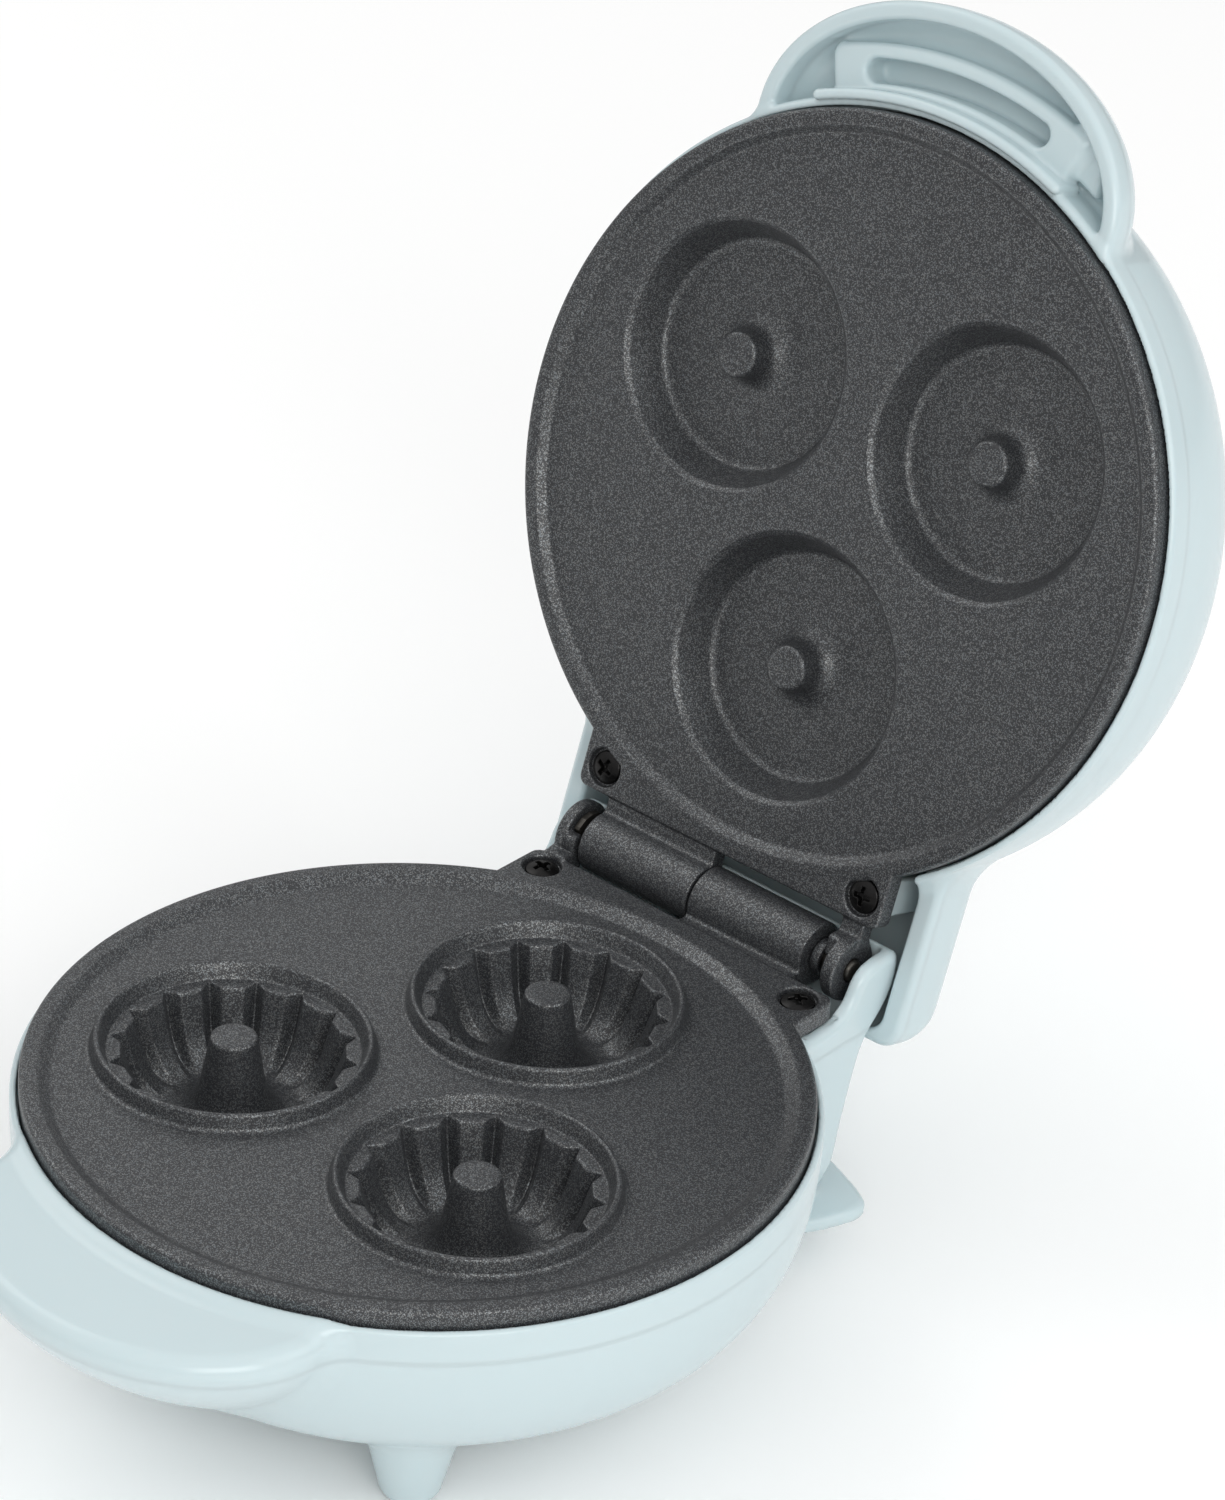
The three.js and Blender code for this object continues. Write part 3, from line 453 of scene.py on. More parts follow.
def shell_material():
    m, nt, b = principled("shell_blue_plastic")
    n1, c = noise(nt, 22, 2.0)
    n2, _ = noise(nt, 900, 2.0, coord=c)
    col = mix(nt, n1.outputs["Fac"], (0.535, 0.640, 0.668), (0.560, 0.662, 0.688))
    nt.links.new(col, b.inputs["Base Color"])
    r = ramp(nt, n2.outputs["Fac"], [(0.3, 0.20), (0.7, 0.245)])
    nt.links.new(r.outputs[0], b.inputs["Roughness"])
    b.inputs["IOR"].default_value = 1.49
    b.inputs["Subsurface Weight"].default_value = 0.12
    b.inputs["Subsurface Radius"].default_value = (0.6, 0.9, 1.0)
    b.inputs["Subsurface Scale"].default_value = 0.0012
    n3, _ = noise(nt, 260, 1.0, coord=c)
    bump(nt, b, n3.outputs["Fac"], 0.05, 0.0003)
    return m


def coating_material(name="nonstick_coating"):
    m, nt, b = principled(name)
    n1, c = noise(nt, 35, 3.0)
    fine, _ = noise(nt, 2300, 3.0, 0.7, coord=c)
    base = mix(nt, n1.outputs["Fac"], (0.0190, 0.0200, 0.0232), (0.0235, 0.0248, 0.0282))
    # metal flakes in the coating, some warm and some cool
    vor = nt.nodes.new("ShaderNodeTexVoronoi")
    vor.inputs["Scale"].default_value = 6200
    nt.links.new(c.outputs["Object"], vor.inputs["Vector"])
    sep = nt.nodes.new("ShaderNodeSeparateColor")
    nt.links.new(vor.outputs["Color"], sep.inputs[0])
    flake = ramp(nt, sep.outputs[0], [(0.0, 0.0), (0.62, 0.0), (0.80, 0.75), (1.0, 0.92)])
    tint = mix(nt, sep.outputs[1], (0.262, 0.262, 0.255), (0.218, 0.242, 0.260))
    col = mix(nt, flake.outputs[0], base, tint)
    nt.links.new(col, b.inputs["Base Color"])
    nt.links.new(flake.outputs[0], b.inputs["Metallic"])
    ro = ramp(nt, fine.outputs["Fac"], [(0.25, 0.36), (0.75, 0.50)])
    nt.links.new(ro.outputs[0], b.inputs["Roughness"])
    b.inputs["Specular IOR Level"].default_value = 0.55
    bump(nt, b, fine.outputs["Fac"], 0.45, 0.00012)
    return m


def metal_material(name, lo, hi, r0, r1, scale=400, metallic=0.9, bumpy=0.08):
    m, nt, b = principled(name)
    n1, c = noise(nt, scale, 3.0)
    n2, _ = noise(nt, scale * 6, 2.0, coord=c)
    nt.links.new(mix(nt, n1.outputs["Fac"], lo, hi), b.inputs["Base Color"])
    b.inputs["Metallic"].default_value = metallic
    nt.links.new(ramp(nt, n1.outputs["Fac"], [(0.3, r0), (0.7, r1)]).outputs[0], b.inputs["Roughness"])
    bump(nt, b, n2.outputs["Fac"], bumpy, 0.0001)
    return m


def matte_material(name, lo, hi, rough=0.7, scale=500):
    m, nt, b = principled(name)
    n1, c = noise(nt, scale, 4.0)
    nt.links.new(mix(nt, n1.outputs["Fac"], lo, hi), b.inputs["Base Color"])
    nt.links.new(ramp(nt, n1.outputs["Fac"], [(0.2, rough - 0.06), (0.8, rough + 0.06)]).outputs[0], b.inputs["Roughness"])
    bump(nt, b, n1.outputs["Fac"], 0.15, 0.0002)
    return m


SHELL = shell_material()
COAT = coating_material()
SCREW = metal_material("black_screw", (0.010, 0.010, 0.011), (0.030, 0.029, 0.028), 0.22, 0.36, 500, 0.85)
STEEL = metal_material("plain_steel", (0.33, 0.32, 0.30), (0.45, 0.44, 0.42), 0.28, 0.42)
DARKSTEEL = metal_material("oiled_steel", (0.045, 0.042, 0.038), (0.09, 0.085, 0.075), 0.3, 0.45, 300, 0.8)
SHEATH = metal_material("heater_sheath", (0.10, 0.11, 0.10), (0.20, 0.20, 0.18), 0.4, 0.6, 200, 0.8)
TIN = metal_material("bright_tin", (0.55, 0.56, 0.56), (0.68, 0.68, 0.67), 0.25, 0.4, 120, 0.95)
CERAMIC = matte_material("ceramic_block", (0.72, 0.68, 0.60), (0.82, 0.78, 0.70))
RUBBER = matte_material("foot_rubber", (0.035, 0.037, 0.040), (0.06, 0.062, 0.066), 0.85, 900)
SLEEVE = matte_material("glass_sleeve", (0.66, 0.62, 0.50), (0.76, 0.72, 0.60), 0.85, 1500)


def lens_material():
    m, nt, b = principled("pilot_lens_red")
    n1, c = noise(nt, 700, 2.0)
    nt.links.new(mix(nt, n1.outputs["Fac"], (0.42, 0.030, 0.014), (0.55, 0.055, 0.022)), b.inputs["Base Color"])
    nt.links.new(ramp(nt, n1.outputs["Fac"], [(0.3, 0.10), (0.7, 0.18)]).outputs[0], b.inputs["Roughness"])
    b.inputs["Coat Weight"].default_value = 0.4
    return m


LENS = lens_material()
by_slot = {"shell": SHELL, "casting": COAT, "screw": SCREW, "steel": STEEL, "darksteel": DARKSTEEL, "sheath": SHEATH,
           "tin": TIN, "ceramic": CERAMIC, "rubber": RUBBER, "sleeve": SLEEVE, "lens": LENS}
for row in frame["record"]["subparts"]:
    o = frame["nodes"].get(row["node"])
    if o is not None:
        o.data.materials.clear()
        o.data.materials.append(by_slot[row["material_slot"]])

# ------------------------------------------------------------------ shared dimensions
CAV = [(31.7 * math.cos(a * D), 31.7 * math.sin(a * D)) for a in (90, 210, 330)]
SCREW_AT = (29.3, 63.0)
BORE = 2.08

# ------------------------------------------------------------------ lower casting
SEG = 240
HOLE_R = 25.2


def mould_patch(cx, cy):
    post = [(0, 1.45), (1.6, 1.45), (3.1, 1.45), (3.5, 1.42), (3.76, 1.33), (3.93, 1.16), (4.02, 0.9), (4.12, 0.4), (4.45, -1.5),
            (4.85, -4.0), (5.3, -6.6), (5.75, -8.7), (6.3, -10.3), (7.0, -11.5), (7.9, -12.4), (8.9, -12.95), (9.9, -13.2), (10.8, -13.3)]
    rib = [(11.6, -13.28), (12.4, -13.05), (13.3, -12.5), (14.3, -11.65), (15.3, -10.45), (16.2, -8.95), (16.95, -7.2), (17.6, -5.3), (18.15, -3.5), (18.6, -2.1),
           (18.72, -1.72), (18.84, -1.50), (19.02, -1.38), (19.25, -1.35), (20.4, -1.35)]
    gro = [(11.8, -13.4), (13.0, -13.45), (14.3, -13.2), (15.7, -12.5), (17.0, -11.35), (18.1, -9.8), (18.95, -7.9), (19.6, -5.9), (20.1, -3.9), (20.55, -2.3),
           (20.68, -1.85), (20.76, -1.58), (20.84, -1.44), (20.92, -1.38), (21.05, -1.35)]
    crest = [(21.15, -1.35), (21.27, -1.28), (21.40, -1.05), (21.62, -0.45), (22.25, 0.95), (22.40, 1.20), (22.60, 1.38), (22.85, 1.45), (23.08, 1.38), (23.27, 1.20), (23.40, 0.92),
             (23.85, -0.80), (23.95, -1.08), (24.12, -1.30), (24.38, -1.44), (24.7, -1.5), (HOLE_R, -1.5)]
    us = np.array([0.0, 0.035, 0.15, 0.28, 0.41, 0.525, 0.56, 0.60, 0.68, 0.75, 0.78, 0.81, 0.88, 0.96])
    gs = np.array([0.06, 0.0, 0.0, 0.0, 0.0, 0.0, 0.06, 0.20, 0.58, 0.92, 0.98, 0.92, 0.58, 0.20])
    pitch = 2 * math.pi / 16
    ang = np.concatenate([(k + us - 0.28) * pitch for k in range(16)])
    g = np.tile(gs, 16)
    dev = np.tile((us - 0.28) * pitch, 16)
    flatness = np.where(np.abs(dev) <= 0.2801 * pitch, math.cos(0.28 * pitch) / np.cos(dev), 1.0)
    rows = []
    for r, z in post:
        rows.append((np.full(len(ang), r), np.full(len(ang), z)))
    for (r1, z1), (r2, z2) in zip(rib, gro):
        k = np.clip((r1 - 12.0) / 3.0, 0, 1) * (1 if r1 < 20 else 0)
        rr = r1 * (1 + (flatness - 1) * k)
        rows.append((rr * (1 - g) + r2 * g, z1 * (1 - g) + z2 * g))
    for r, z in crest:
        rows.append((np.full(len(ang), r), np.full(len(ang), z)))
    P = np.stack([np.stack([cx + r * np.cos(ang), cy + r * np.sin(ang), z], -1) for r, z in rows])
    v, n, q = grid_patch(P)
    n = n.reshape(P.shape); n[0] = [0, 0, 1]
    edge = circle(HOLE_R, 1)  # radius only
    return v, n.reshape(-1, 3), q, np.stack([cx + HOLE_R * np.cos(ang), cy + HOLE_R * np.sin(ang)], 1)


def lower_casting():
    P = Parts()
    holes = []
    for cx, cy in CAV:
        v, n, q, hole = mould_patch(cx, cy)
        P.add(v, n, q)
        holes.append(hole)
    v, n, t = flat(circle(59.6, SEG), holes, -1.5)
    P.add(v, n, tris=t)
    rim = [(59.6, -1.5), (60.3, -1.5), (60.6, -1.48), (60.9, -1.40), (61.2, -1.24), (62.6, -0.30), (62.9, -0.12), (63.2, -0.03), (63.6, 0), (64.95, 0), (65.35, -0.05), (65.68, -0.22),
           (65.90, -0.48), (66.0, -0.85), (66.0, -5.2), (65.93, -5.42), (65.75, -5.56), (65.5, -5.6), (63.2, -5.6), (62.9, -5.5), (62.8, -5.2), (62.8, -4.6), (62.7, -4.38), (62.4, -4.3), (60.5, -4.3)]
    P.add(*ring(rim, SEG))
    under = [circle(25.0, 48, cx, cy) for cx, cy in CAV]
    v, n, t = flat(circle(60.5, SEG), under, -4.3, up=False)
    P.add(v, n, tris=t)
    for cx, cy in CAV:
        P.add(*ring([(25.0, -4.3), (24.2, -4.6), (23.4, -5.6), (20.9, -10.6), (20.0, -11.4), (15.2, -15.0), (14.0, -15.4), (12.5, -15.5), (0, -15.5)], 48, cx, cy))
    # flange, right barrel, left ear
    fl = Outline([(-34, 40), (-34, 65.7), (-33.6, 66.6), (-32.7, 67.2), (-31, 67.4), (32.3, 67.4), (33.3, 67.0), (33.9, 66.2), (34, 65.2), (34, 40)], soft=0.25, step=0.2)

    def f(x, y, z):
        r = np.hypot(x, y)
        d = smax(fl(x, y), slab(z, -4.0, -0.03), 0.45)
        d = smax(d, 64.4 - r, 0.1)
        web = block(x, y, z, -1.4, 24, 66.3, 75.0, -4.0, -0.2, 0.4)
        bar = rodx(x, y, z, 5.75, HY, HZ, -1.4, 24, 0.45)
        d = np.minimum(d, smin(web, bar, 0.8))
        ear = rodx(x, y, z, 6.0, HY, HZ, -32.1, -29.8, 0.5)
        foot = smax(smax(slab(x, -32.1, -27.6), slab(y, 66.5, 71.0), 0.5), slab(z, -4.0, 0.6), 0.5)
        inner = smax(rodx(x, y, z, 6.0, HY, HZ, -30.4, -27.6, 0.5), block(x, y, z, -31, -27, 60, 71.6, -8, 3.5, 0.5), 0.5)
        heel = block(x, y, z, -32.1, -29.8, 68, 74, -4.0, 0.5, 0.5)
        e = smin(np.minimum(ear, heel), np.minimum(foot, inner), 0.6)
        d = smin(d, e, 0.5)
        d = less(d, rodx(x, y, z, 5.9, HY, HZ, -27.3, -1.7, 0.05), 0.25)
        d = less(d, rodx(x, y, z, 6.1, HY, HZ, 26.2, 40, 0.05), 0.25)
        d = less(d, np.hypot(y - HY, z - HZ) - BORE, 0.2)
        for s in (-1, 1):
            d = less(d, rodz(x, y, z, 3.5, s * SCREW_AT[0], SCREW_AT[1], -1.3, 6, 0.2), 0.4)
        return d
    v, n, q = net(f, axis_steps([-35, (35, 0.42)]), axis_steps([52, (83, 0.38)]), axis_steps([-6.2, (8.6, 0.36)]), soft=0.1)
    P.add(v, n, q)
    P.make("base_casting", False, COAT, "base", ["base_plate"], "casting")


# ------------------------------------------------------------------ upper casting
def upper_casting():
    P = Parts()
    holes, under = [], []
    pan = [(0, 2.56), (1.6, 2.56), (2.9, 2.57), (3.4, 2.63), (3.75, 2.80), (3.97, 3.08), (4.07, 3.45), (4.15, 4.6), (4.28, 6.0), (4.55, 6.9), (5.0, 7.6), (5.65, 8.2), (6.5, 8.65), (7.5, 8.95), (8.5, 9.08), (9.6, 9.1),
           (18.7, 9.1), (19.3, 9.06), (19.8, 8.88), (20.2, 8.55), (20.48, 8.1), (20.72, 7.5), (22.88, 3.05), (23.0, 2.80), (23.16, 2.60), (23.36, 2.44), (23.74, 2.08), (23.92, 1.96), (24.2, 1.9), (HOLE_R, 1.9)]
    for cx, cy in CAV:
        P.add(*ring(pan, 160, cx, cy, flip=True))
        holes.append(circle(HOLE_R, 160, cx, cy))
        under.append(circle(25.4, 48, cx, cy))
        P.add(*ring([(25.4, 4.7), (25.0, 4.85), (24.4, 5.4), (20.8, 10.7), (20.2, 11.15), (19.2, 11.3), (0, 11.3)], 48, cx, cy, flip=True))
    v, n, t = flat(circle(60.6, SEG), holes, 1.9, up=False)
    P.add(v, n, tris=t)
    rim = [(60.6, 1.9), (61.3, 1.9), (61.6, 1.87), (61.85, 1.74), (62.1, 1.52), (62.9, 0.62), (63.1, 0.44), (63.35, 0.34), (63.7, 0.3), (64.95, 0.3), (65.35, 0.36), (65.68, 0.53), (65.90, 0.8), (66.0, 1.15),
           (66.0, 5.5), (65.93, 5.72), (65.75, 5.86), (65.5, 5.9), (63.2, 5.9), (62.9, 5.8), (62.8, 5.5), (62.8, 5.0), (62.7, 4.78), (62.4, 4.7), (60.5, 4.7)]
    P.add(*ring(rim, SEG, flip=True))
    v, n, t = flat(circle(60.5, SEG), under, 4.7)
    P.add(v, n, tris=t)
    fl = Outline([(-34, 40), (-34, 65.2), (-33.6, 66.1), (-32.6, 66.6), (32.6, 66.6), (33.6, 66.1), (34, 65.2), (34, 40)], soft=0.3, step=0.2)

    def f(x, y, z):
        r = np.hypot(x, y)
        d = smax(fl(x, y), slab(z, 0.33, 4.2), 0.45)
        d = smax(d, 64.4 - r, 0.1)
        web = block(x, y, z, -27, -2.0, 65.5, 75.0, 0.8, 4.2, 0.4)
        bar = rodx(x, y, z, 5.5, HY, HZ, -27, -2.0, 0.45)
        d = smin(d, smin(web, bar, 0.8), 0.3)
        ear = rodx(x, y, z, 5.8, HY, HZ, 28.6, 31.2, 0.45)
        arm = block(x, y, z, 26.5, 31.2, 65.5, 71.5, 0.8, 4.2, 0.5)
        inner = smax(rodx(x, y, z, 5.8, HY, HZ, 26.5, 28.9, 0.4), block(x, y, z, 26, 29, 60, 73.6, -1.8, 9, 0.5), 0.4)
        d = smin(d, smin(ear, smin(arm, inner, 0.6), 0.6), 0.4)
        d = less(d, rodx(x, y, z, 6.3, HY, HZ, -40, -27.3, 0.05), 0.25)
        d = less(d, rodx(x, y, z, 6.05, HY, HZ, -1.7, 24.3, 0.05), 0.25)
        d = less(d, np.hypot(y - HY, z - HZ) - BORE, 0.2)
        for s in (-1, 1):
            d = less(d, rodz(x, y, z, 3.5, s * SCREW_AT[0], SCREW_AT[1] - 1, -4, 1.6, 0.2), 0.4)
        return d
    v, n, q = net(f, axis_steps([-35, (35, 0.42)]), axis_steps([52, (83, 0.38)]), axis_steps([-6.2, (8.6, 0.36)]), soft=0.1)
    P.add(v, n, q)
    P.make("lid_casting", True, COAT, "lid", ["lid_plate"], "casting")


# ------------------------------------------------------------------ lower shell
bowl = Cap([(0, -43.5), (22, -43.0), (38, -41.3), (48, -38.5), (55.8, -34.5), (61.4, -29.2), (65.2, -23), (67.0, -16), (67.5, -9), (67.5, -3)], -3.0, -1)
cheek = Outline([(30, -4.6), (60, -4.7), (63.7, -4.6), (66.4, -4.3), (68.6, -3.6), (70.2, -2.4), (71.2, -0.9), (72.0, 0.8), (73.2, 2.4), (75.0, 3.3), (77.5, 3.7), (81.8, 3.9), (82.6, 3.5), (82.9, 2.8), (82.8, 0.6), (82.3, -2.2),
                 (81.0, -5.0), (78.8, -7.6), (76.2, -10), (74.4, -13), (72.9, -18), (70.9, -26), (69.4, -34), (66.5, -37.4), (60, -39.6), (44, -40.2), (30, -38.6)], soft=0.7, step=0.25)
housing = Outline([(46.5, 20), (95, 20), (95, 5.6), (81.3, 5.6), (81.2, 0.6), (80.7, -2.0), (79.5, -4.3), (77.5, -6.6), (75.0, -8.8), (73.2, -11), (71.8, -13.8), (70.3, -18.5), (68.3, -26.3), (66.9, -33.2), (64.9, -35.2),
                   (59.5, -37.3), (46.5, -37.8)], soft=0.3, step=0.25)
tab_half = [(0, 80), (14, 79.3), (24, 77.6), (32, 75), (38.5, 72.4), (42, 70.6), (43.6, 68.6), (43.6, 66), (41.4, 60), (38, 54), (30, 40), (0, 40)]
tab = Outline(tab_half + [(-x, y) for x, y in tab_half[1:-1][::-1]], soft=0.8, step=0.3)
FEET = {"front_left": (-32.3, -34.0), "front_right": (32.3, -34.0), "rear_left": (-27.0, 60.0), "rear_right": (27.0, 60.0)}


def base_lobe(x, y, z):
    u = (-z - 9.0) / 21.0
    t = (np.sqrt(u * u + 0.03) + u) / 2
    t = np.minimum(t, 1.25)
    a, b, c = 36.5 - 10.4 * t - 8.3 * t * t, 28.3 - 10.8 * t - 4.4 * t * t, -60 + 5.4 * t + 4.8 * t * t
    q = np.sqrt((x / a) ** 2 + ((y - c) / b) ** 2)
    g = np.sqrt((x / a ** 2) ** 2 + ((y - c) / b ** 2) ** 2) / np.maximum(q, 1e-6)
    slope = (10.4 + 16 * t) / 21.0 * np.clip(u * 3 + 0.5, 0, 1)
    d = (q - 1) / np.maximum(g, 1 / 40) / np.sqrt(1 + slope ** 2)
    top = z + 3.55 + 0.045 * np.maximum(np.hypot(x, y) - 67.0, 0)
    return smax(smax(d, top, 3.6), -z - 33, 2.0)


def base_shell(x, y, z):
    r = np.hypot(x, y)
    raw = bowl(r, z)
    lobe = base_lobe(x, y, z)
    d = smax(raw, z + 3.0, 0.9)
    d = smin(d, lobe, 3.2)
    hs = smax(cheek(y, z), np.abs(x) - 35.6, 1.6)
    d = smin(d, hs, 2.6)
    tb = smax(tab(x, y), slab(z, -41.4, -38.6), 1.25)
    d = smin(d, tb, 1.6)
    for fx, fy in FEET.values():
        rr = np.hypot(x - fx, y - fy)
        cone = (rr - (5.15 + 2.65 * np.clip((z + 48.5) / 11.0, 0, 1.4))) * 0.97
        foot = smax(smax(cone, -z - 49.55, 1.3), z + 34.0, 0.5)
        d = smin(d, foot, 2.2)
    core = smin(raw, lobe, 3.0) + 2.3
    core = smax(core, z + 5.95, 0.4)
    d = less(d, core, 0.4)
    d = less(d, smax(r - 66.35, -z - 6.15, 0.3), 0.35)
    d = less(d, smax(housing(y, z), np.abs(x) - 33.0, 1.5), 0.45)
    d = less(d, block(x, y, z, -34.3, 34.3, 50, 67.9, -4.3, 8, 0.3), 0.35)
    for s in (-1, 1):
        d = np.minimum(d, block(x, y, z, min(s * 26, s * 33), max(s * 26, s * 33), 59.5, 66.2, -38, -5.9, 0.4))
        d = np.minimum(d, block(x, y, z, min(s * 18, s * 27), max(s * 18, s * 27), 72.0, 75.6, -16, -11.0, 0.4))
    d = less(d, np.hypot(x, z + 29) - 3.6 + 0 * y + 1e3 * (y < 60), 0.6)
    for fx, fy in FEET.values():
        d = less(d, rodz(x, y, z, 3.1, fx, fy, -60, -48.45, 0.1), 0.25)
    return d


def lower_shell():
    P = Parts()
    xs = axis_steps([-69, (-38, 1.05), (-30, 0.7), (30, 1.05), (38, 0.7), (69, 1.05)])
    ys = axis_steps([-89.5, (-62, 0.9), (50, 1.1), (84.5, 0.7)])
    # the lower net lies a hair inside the upper one, so that the two never share a plane where they overlap
    P.add(*net(lambda x, y, z: base_shell(x, y, z) + 0.012, xs, ys, axis_steps([-51, (-46, 0.7), (-10.5, 1.0), (-8.2, 0.7)])))
    xs = axis_steps([-68.6, (68.6, 0.5)])
    ys = axis_steps([-89.0, (84.4, 0.5)])
    P.add(*net(base_shell, xs, ys, axis_steps([-9.7, (-2.2, 0.42), (6, 0.5)])))
    P.make("base_body", False, SHELL, "base", ["base_shell"], "shell")


# ------------------------------------------------------------------ upper shell
dome = Cap([(0, 42.4), (22, 41.9), (38, 40.4), (48, 37.9), (55.8, 34.4), (61.0, 30.2), (64.6, 25), (66.6, 18.5), (67.5, 10), (67.5, 3.3)], 3.3, 1)
COVER = np.array([[-8, 40.8, 87.4], [12, 40.8, 87.4], [17, 40.1, 86.2], [21, 37.8, 83], [25, 33, 77], [29, 27, 69], [33, 18, 58], [38, 6, 44]], float)


def _cover_table():
    w = np.linspace(-8, 38, 461)
    X, Y = np.interp(w, COVER[:, 0], COVER[:, 1]), np.interp(w, COVER[:, 0], COVER[:, 2])
    k = np.exp(-0.5 * (np.arange(-40, 41) / 16.0) ** 2); k /= k.sum()
    X = np.convolve(np.pad(X, 40, mode="edge"), k, "valid"); Y = np.convolve(np.pad(Y, 40, mode="edge"), k, "valid")
    return w, X, Y


CW, CX_, CY_ = _cover_table()


def cover(x, y, w, dx=0.0, dy=0.0, dw=0.0, corner=4.5):
    X = np.interp(w + dw, CW, CX_) - dx
    Y = np.interp(w + dw, CW, CY_) - dy
    qx, qy = np.abs(x) - (X - corner), y - (Y - corner)
    d = np.hypot(np.maximum(qx, 0), np.maximum(qy, 0)) + np.minimum(np.maximum(qx, qy), 0) - corner
    sl = np.clip((w - 14) / 12.0, 0, 1) * 1.2
    d = d / np.sqrt(1 + sl ** 2)
    return smax(smax(d, 44.0 - y, 2.0), w - 36.0, 3.0)


def lid_lobe(x, y, w, a=38.0, b=27.0, c=-58.5, top=17.3, w0=4.8):
    q = np.sqrt((x / a) ** 2 + ((y - c) / b) ** 2)
    s = np.maximum(w - w0, 0) / top
    n, m = 2.7, 2.3
    F = q ** n + s ** m - 1
    g = np.sqrt((n * q ** (n - 1)) ** 2 * ((x / a ** 2) ** 2 + ((y - c) / b ** 2) ** 2) / np.maximum(q, 1e-6) ** 2 + (m * s ** (m - 1) / top) ** 2)
    return F / np.maximum(g, 1 / 22)


def lid_shell(x, y, w):
    r = np.hypot(x, y)
    raw = dome(r, w)
    d = smax(raw, 3.3 - w, 0.9)
    d = smin(d, smax(lid_lobe(x, y, w), 3.3 - w, 1.3), 1.8)
    cv = smax(cover(x, y, w), 6.4 - w, 1.6)
    d = smin(d, cv, 4.0)
    # hollow under the handle, its land and lip, and the long slot
    q = np.sqrt((x / 34.8) ** 2 + ((y + 58.5) / 23.8) ** 2)
    el = (q - 1) / np.maximum(np.sqrt((x / 34.8 ** 2) ** 2 + ((y + 58.5) / 23.8 ** 2) ** 2) / np.maximum(q, 1e-6), 1 / 30)
    hollow = smax(smax(el, w - 10.5, 3.0), 68.0 - r, 1.0)
    d = less(d, hollow, 1.1)
    ang = np.arctan2(x, -y)
    land = smax(smax(slab(r, 67.0, 77.2), (np.abs(ang) - 21 * D) * r, 2.2), slab(w, 5.2, 13.0), 1.5)
    d = smin(d, land, 2.0)
    step = smax(smax(slab(r, 70, 80.5), slab(ang * r, 18.0 * D * 76, 24.0 * D * 76), 1.2), slab(w, 6.9, 13.0), 1.3)
    step = smax(step, el + 0.6, 0.5)
    d = smin(d, step, 1.5)
    lip = smax(smax(slab(r, 67.35, 69.25), (np.abs(ang) - 22.5 * D) * r, 0.9), slab(w, 1.6, 9.0), 0.85)
    d = smin(d, lip, 0.5)
    along = np.maximum(np.abs(ang) - 13.8 * D, 0) * 72.4
    slot = smax(np.hypot(np.where(along > 0, along, 0), r - 72.4) - 2.15, w - 11.2, 0.8)
    d = less(d, slot, 0.9)
    # inside
    d = less(d, smax(raw + 2.3, -w - 20, 0.1), 0.4)
    d = less(d, smax(r - 66.35, w - 6.3, 0.3), 0.35)
    inside = cover(x, y, w, 4.4, 2.3, 2.1, 3.0)
    inside = smax(inside, 47.0 - y, 1.0)
    inside = smax(inside, w - 31.0, 1.0)
    d = less(d, inside, 0.8)
    for s in (-1, 1):
        bs = block(x, y, w, 25.8 if s > 0 else -31.9, 31.9 if s > 0 else -25.8, 58.6, 65.4, 6.2, 23, 0.4)
        d = np.minimum(d, bs)
    d = less(d, rodz(x, y, w, 4.3, 0, -20, 30, 50, 0.2), 0.4)
    return d


def upper_shell():
    P = Parts()
    xs = axis_steps([-68.6, (68.6, 0.52)])
    ys = axis_steps([-87, (89, 0.52)])
    P.add(*net(lid_shell, xs, ys, axis_steps([-1.5, (2.6, 0.7), (4.6, 0.4), (8.6, 0.5)])))
    P.add(*net(lambda x, y, z: lid_shell(x, y, z) + 0.012, axis_steps([-46, (46, 0.55)]), axis_steps([-87, (-55, 0.5)]), axis_steps([7.4, (19, 0.5), (37, 1.0)])))
    xs = axis_steps([-69, (-42, 1.1), (-34, 0.8), (34, 1.15), (42, 0.8), (69, 1.1)])
    P.add(*net(lambda x, y, z: lid_shell(x, y, z) + 0.024, xs, axis_steps([-57.5, (50, 1.2), (89, 0.85)]), axis_steps([7.2, (22, 0.9), (44, 1.15)])))
    P.make("lid_body", True, SHELL, "lid", ["lid_shell"], "shell")


# ------------------------------------------------------------------ small fittings
def screw_field(x, y, z):
    r = np.hypot(x, y)
    head = smax(smax(r - 3.05, slab(z, -1.5, 0.0), 0.25), np.sqrt(r * r + (z + 6.2) ** 2) - 6.2, 0.25)
    sh = smax(r - 1.15, slab(z, -14.5, -1.0), 0.2)
    d = np.minimum(head, sh)
    lean = 0.16 * (z + 1.3)
    arm = np.minimum(smax(np.abs(x) - 1.55 - lean, np.abs(y) - 0.36 - lean * 0.5, 0.08), smax(np.abs(y) - 1.55 - lean, np.abs(x) - 0.36 - lean * 0.5, 0.08))
    arm = np.minimum(arm, r - 0.62 - lean)
    arm = smax(arm, -1.25 - z, 0.12)
    return less(d, arm, 0.1)


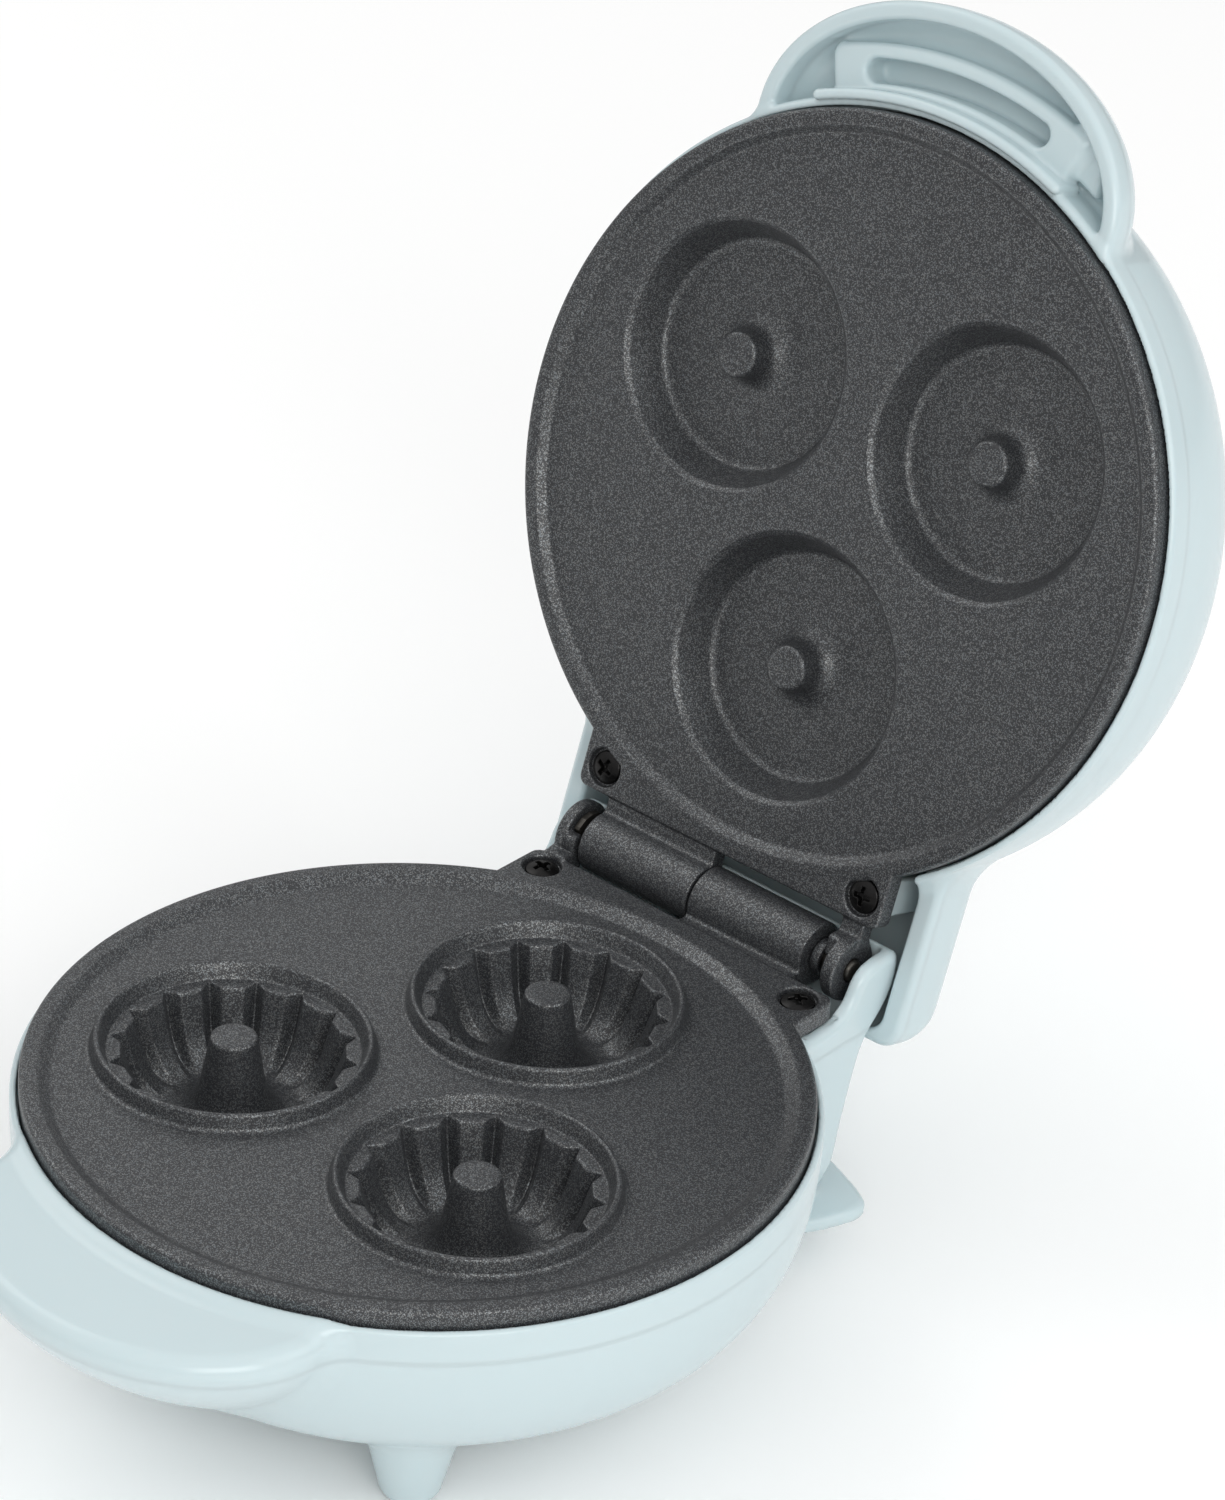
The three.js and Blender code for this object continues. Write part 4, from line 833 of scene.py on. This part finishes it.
def screws():
    v, n, q = net(screw_field, axis_steps([-3.4, (3.4, 0.13)]), axis_steps([-3.4, (3.4, 0.13)]), axis_steps([-14.9, (-2.0, 0.5), (0.4, 0.12)]), soft=0.05)
    for s, side in ((-1, "left"), (1, "right")):
        for lid in (False, True):
            t = (17 + 31 * s + 40 * lid) * D
            c, k = math.cos(t), math.sin(t)
            R = np.array([[c, -k, 0], [k, c, 0], [0, 0, 1.0]])
            vv, nn, qq = v @ R.T, n @ R.T, q
            if lid:
                vv, nn, qq = vv * [1, 1, -1], nn * [1, 1, -1], q[:, ::-1]
            at = [s * SCREW_AT[0], SCREW_AT[1] - lid, (0.3 - 0.05) if lid else 0.15]
            name = "lid" if lid else "base"
            Parts().add(vv + at, nn, qq).make(f"{name}_screw_{side}", lid, SCREW, name, [f"{name}_plate_screw_{side}"], "screw")


def along_x(prof, seg, y, z):
    """revolved profile of [x, r] about the hinge axis"""
    v, n, q = ring([(r, x) for x, r in prof], seg)
    v, n = v[:, [2, 0, 1]], n[:, [2, 0, 1]]
    return v + [0, y, z], n, q


def fittings():
    pin = [(-31.9, 0), (-31.9, 1.2), (-31.8, 1.6), (-31.5, 1.9), (-31.1, 2.0), (31.1, 2.0), (31.5, 1.9), (31.8, 1.6), (31.9, 1.2), (31.9, 0)]
    v, n, q = along_x(pin, 40, HY, HZ)
    Parts().add(v, -n, q[:, ::-1]).make("hinge_rod", False, DARKSTEEL, "base", ["hinge_pin"], "steel")
    bush = [(24.3, 2.08), (24.3, 3.0), (24.45, 3.22), (24.7, 3.3), (25.8, 3.3), (26.05, 3.22), (26.2, 3.0), (26.2, 2.08), (24.3, 2.08)]
    v, n, q = along_x(bush, 40, HY, HZ)
    Parts().add(v, -n, q[:, ::-1]).make("hinge_bush", False, COAT, "base", ["hinge_bush_right"], "darksteel")
    for k, (x, y) in FEET.items():
        prof = [(0, -50), (2.2, -50), (2.6, -49.9), (2.85, -49.6), (2.9, -49.2), (2.9, -48.7), (0, -48.7)]
        v, n, q = ring(prof, 32, x, y, flip=True)
        Parts().add(v, n, q).make(f"pad_{k}", False, RUBBER, "base", [f"foot_pad_{k}"], "rubber")
    lens = [(0, 42.6), (1.2, 42.55), (2.2, 42.38), (3.0, 42.1), (3.6, 41.7), (3.92, 41.2), (4.0, 40.6), (4.0, 39.3), (4.9, 39.2), (5.0, 39.0), (5.0, 38.4), (4.9, 38.3), (0, 38.3)]
    Parts().add(*ring(lens, 48, 0, -20)).make("pilot_lamp_lens", True, LENS, "lid", ["pilot_lens"], "lens")


lower_casting()
upper_casting()
lower_shell()
upper_shell()
screws()
fittings()

# ------------------------------------------------------------------ floor, light, camera
bpy.ops.mesh.primitive_plane_add(size=4.0, location=(0, 0, 0))
floor = bpy.context.object
floor.name = "floor"
m, nt, b = principled("pale_floor")
n1, c = noise(nt, 1.5, 2.0)
nt.links.new(mix(nt, n1.outputs["Fac"], (0.985, 0.985, 0.985), (0.998, 0.998, 0.998)), b.inputs["Base Color"])
b.inputs["Roughness"].default_value = 0.9
b.inputs["Specular IOR Level"].default_value = 0.15
floor.data.materials.append(m)

world = bpy.data.worlds.new("studio")
bpy.context.scene.world = world
world.use_nodes = True
wt = world.node_tree
bg = wt.nodes["Background"]
way = wt.nodes.new("ShaderNodeTexCoord")
xyz = wt.nodes.new("ShaderNodeSeparateXYZ")
wt.links.new(way.outputs["Generated"], xyz.inputs[0])
half = wt.nodes.new("ShaderNodeMath")
half.operation = "MULTIPLY_ADD"
half.inputs[1].default_value = 0.5
half.inputs[2].default_value = 0.5
wt.links.new(xyz.outputs[2], half.inputs[0])
sky = ramp(wt, half.outputs[0], [(0.0, 0.30), (0.49, 0.30), (0.53, 0.36), (0.62, 0.50), (0.72, 0.72), (0.82, 0.92), (1.0, 0.92)])
wt.links.new(sky.outputs[0], bg.inputs[0])
bg.inputs[1].default_value = 0.95

AZ, EL, ROLL, DIST = 39.302 * D, 30.649 * D, 3.878 * D, 0.927196
target = Vector((-0.01858, 0.067223 + SHIFT[1] / 1000, 0.02658 + SHIFT[2] / 1000))
back = Vector((math.sin(AZ) * math.cos(EL), -math.cos(AZ) * math.cos(EL), math.sin(EL)))
right = Vector((math.cos(AZ), math.sin(AZ), 0))
upv = back.cross(right)
r2 = right * math.cos(ROLL) + upv * math.sin(ROLL)
u2 = -right * math.sin(ROLL) + upv * math.cos(ROLL)


def softbox(name, az, el, dist, size, power, colour=(1, 1, 1)):
    L = bpy.data.lights.new(name, "AREA")
    L.shape = "RECTANGLE"
    L.size, L.size_y = size
    L.energy = power
    L.color = colour
    o = bpy.data.objects.new(name, L)
    bpy.context.scene.collection.objects.link(o)
    d = Vector((math.sin(az * D) * math.cos(el * D), -math.cos(az * D) * math.cos(el * D), math.sin(el * D)))
    o.location = Vector((0, 0.03, 0.08)) + d * dist
    o.rotation_euler = d.to_track_quat("Z", "Y").to_euler()
    return o


softbox("key", 50, 28, 1.5, (0.9, 0.65), 7.5, (1.0, 0.99, 0.965))
softbox("fill", 100, 38, 1.5, (0.8, 1.0), 3.0, (0.96, 0.99, 1.0))
softbox("left", -85, 44, 1.5, (0.6, 1.1), 3.0, (1.0, 0.995, 0.98))

cam = bpy.data.cameras.new("camera")
cam.lens = 36 * 5358.15 / 1500
cam.sensor_width = 36
cam.sensor_fit = "AUTO"
cam.clip_start, cam.clip_end = 0.05, 20
co = bpy.data.objects.new("camera", cam)
bpy.context.scene.collection.objects.link(co)
co.matrix_world = Matrix((
    (r2.x, u2.x, back.x, target.x + back.x * DIST),
    (r2.y, u2.y, back.y, target.y + back.y * DIST),
    (r2.z, u2.z, back.z, target.z + back.z * DIST),
    (0, 0, 0, 1)))
bpy.context.scene.camera = co
bpy.context.scene.view_settings.view_transform = "Standard"
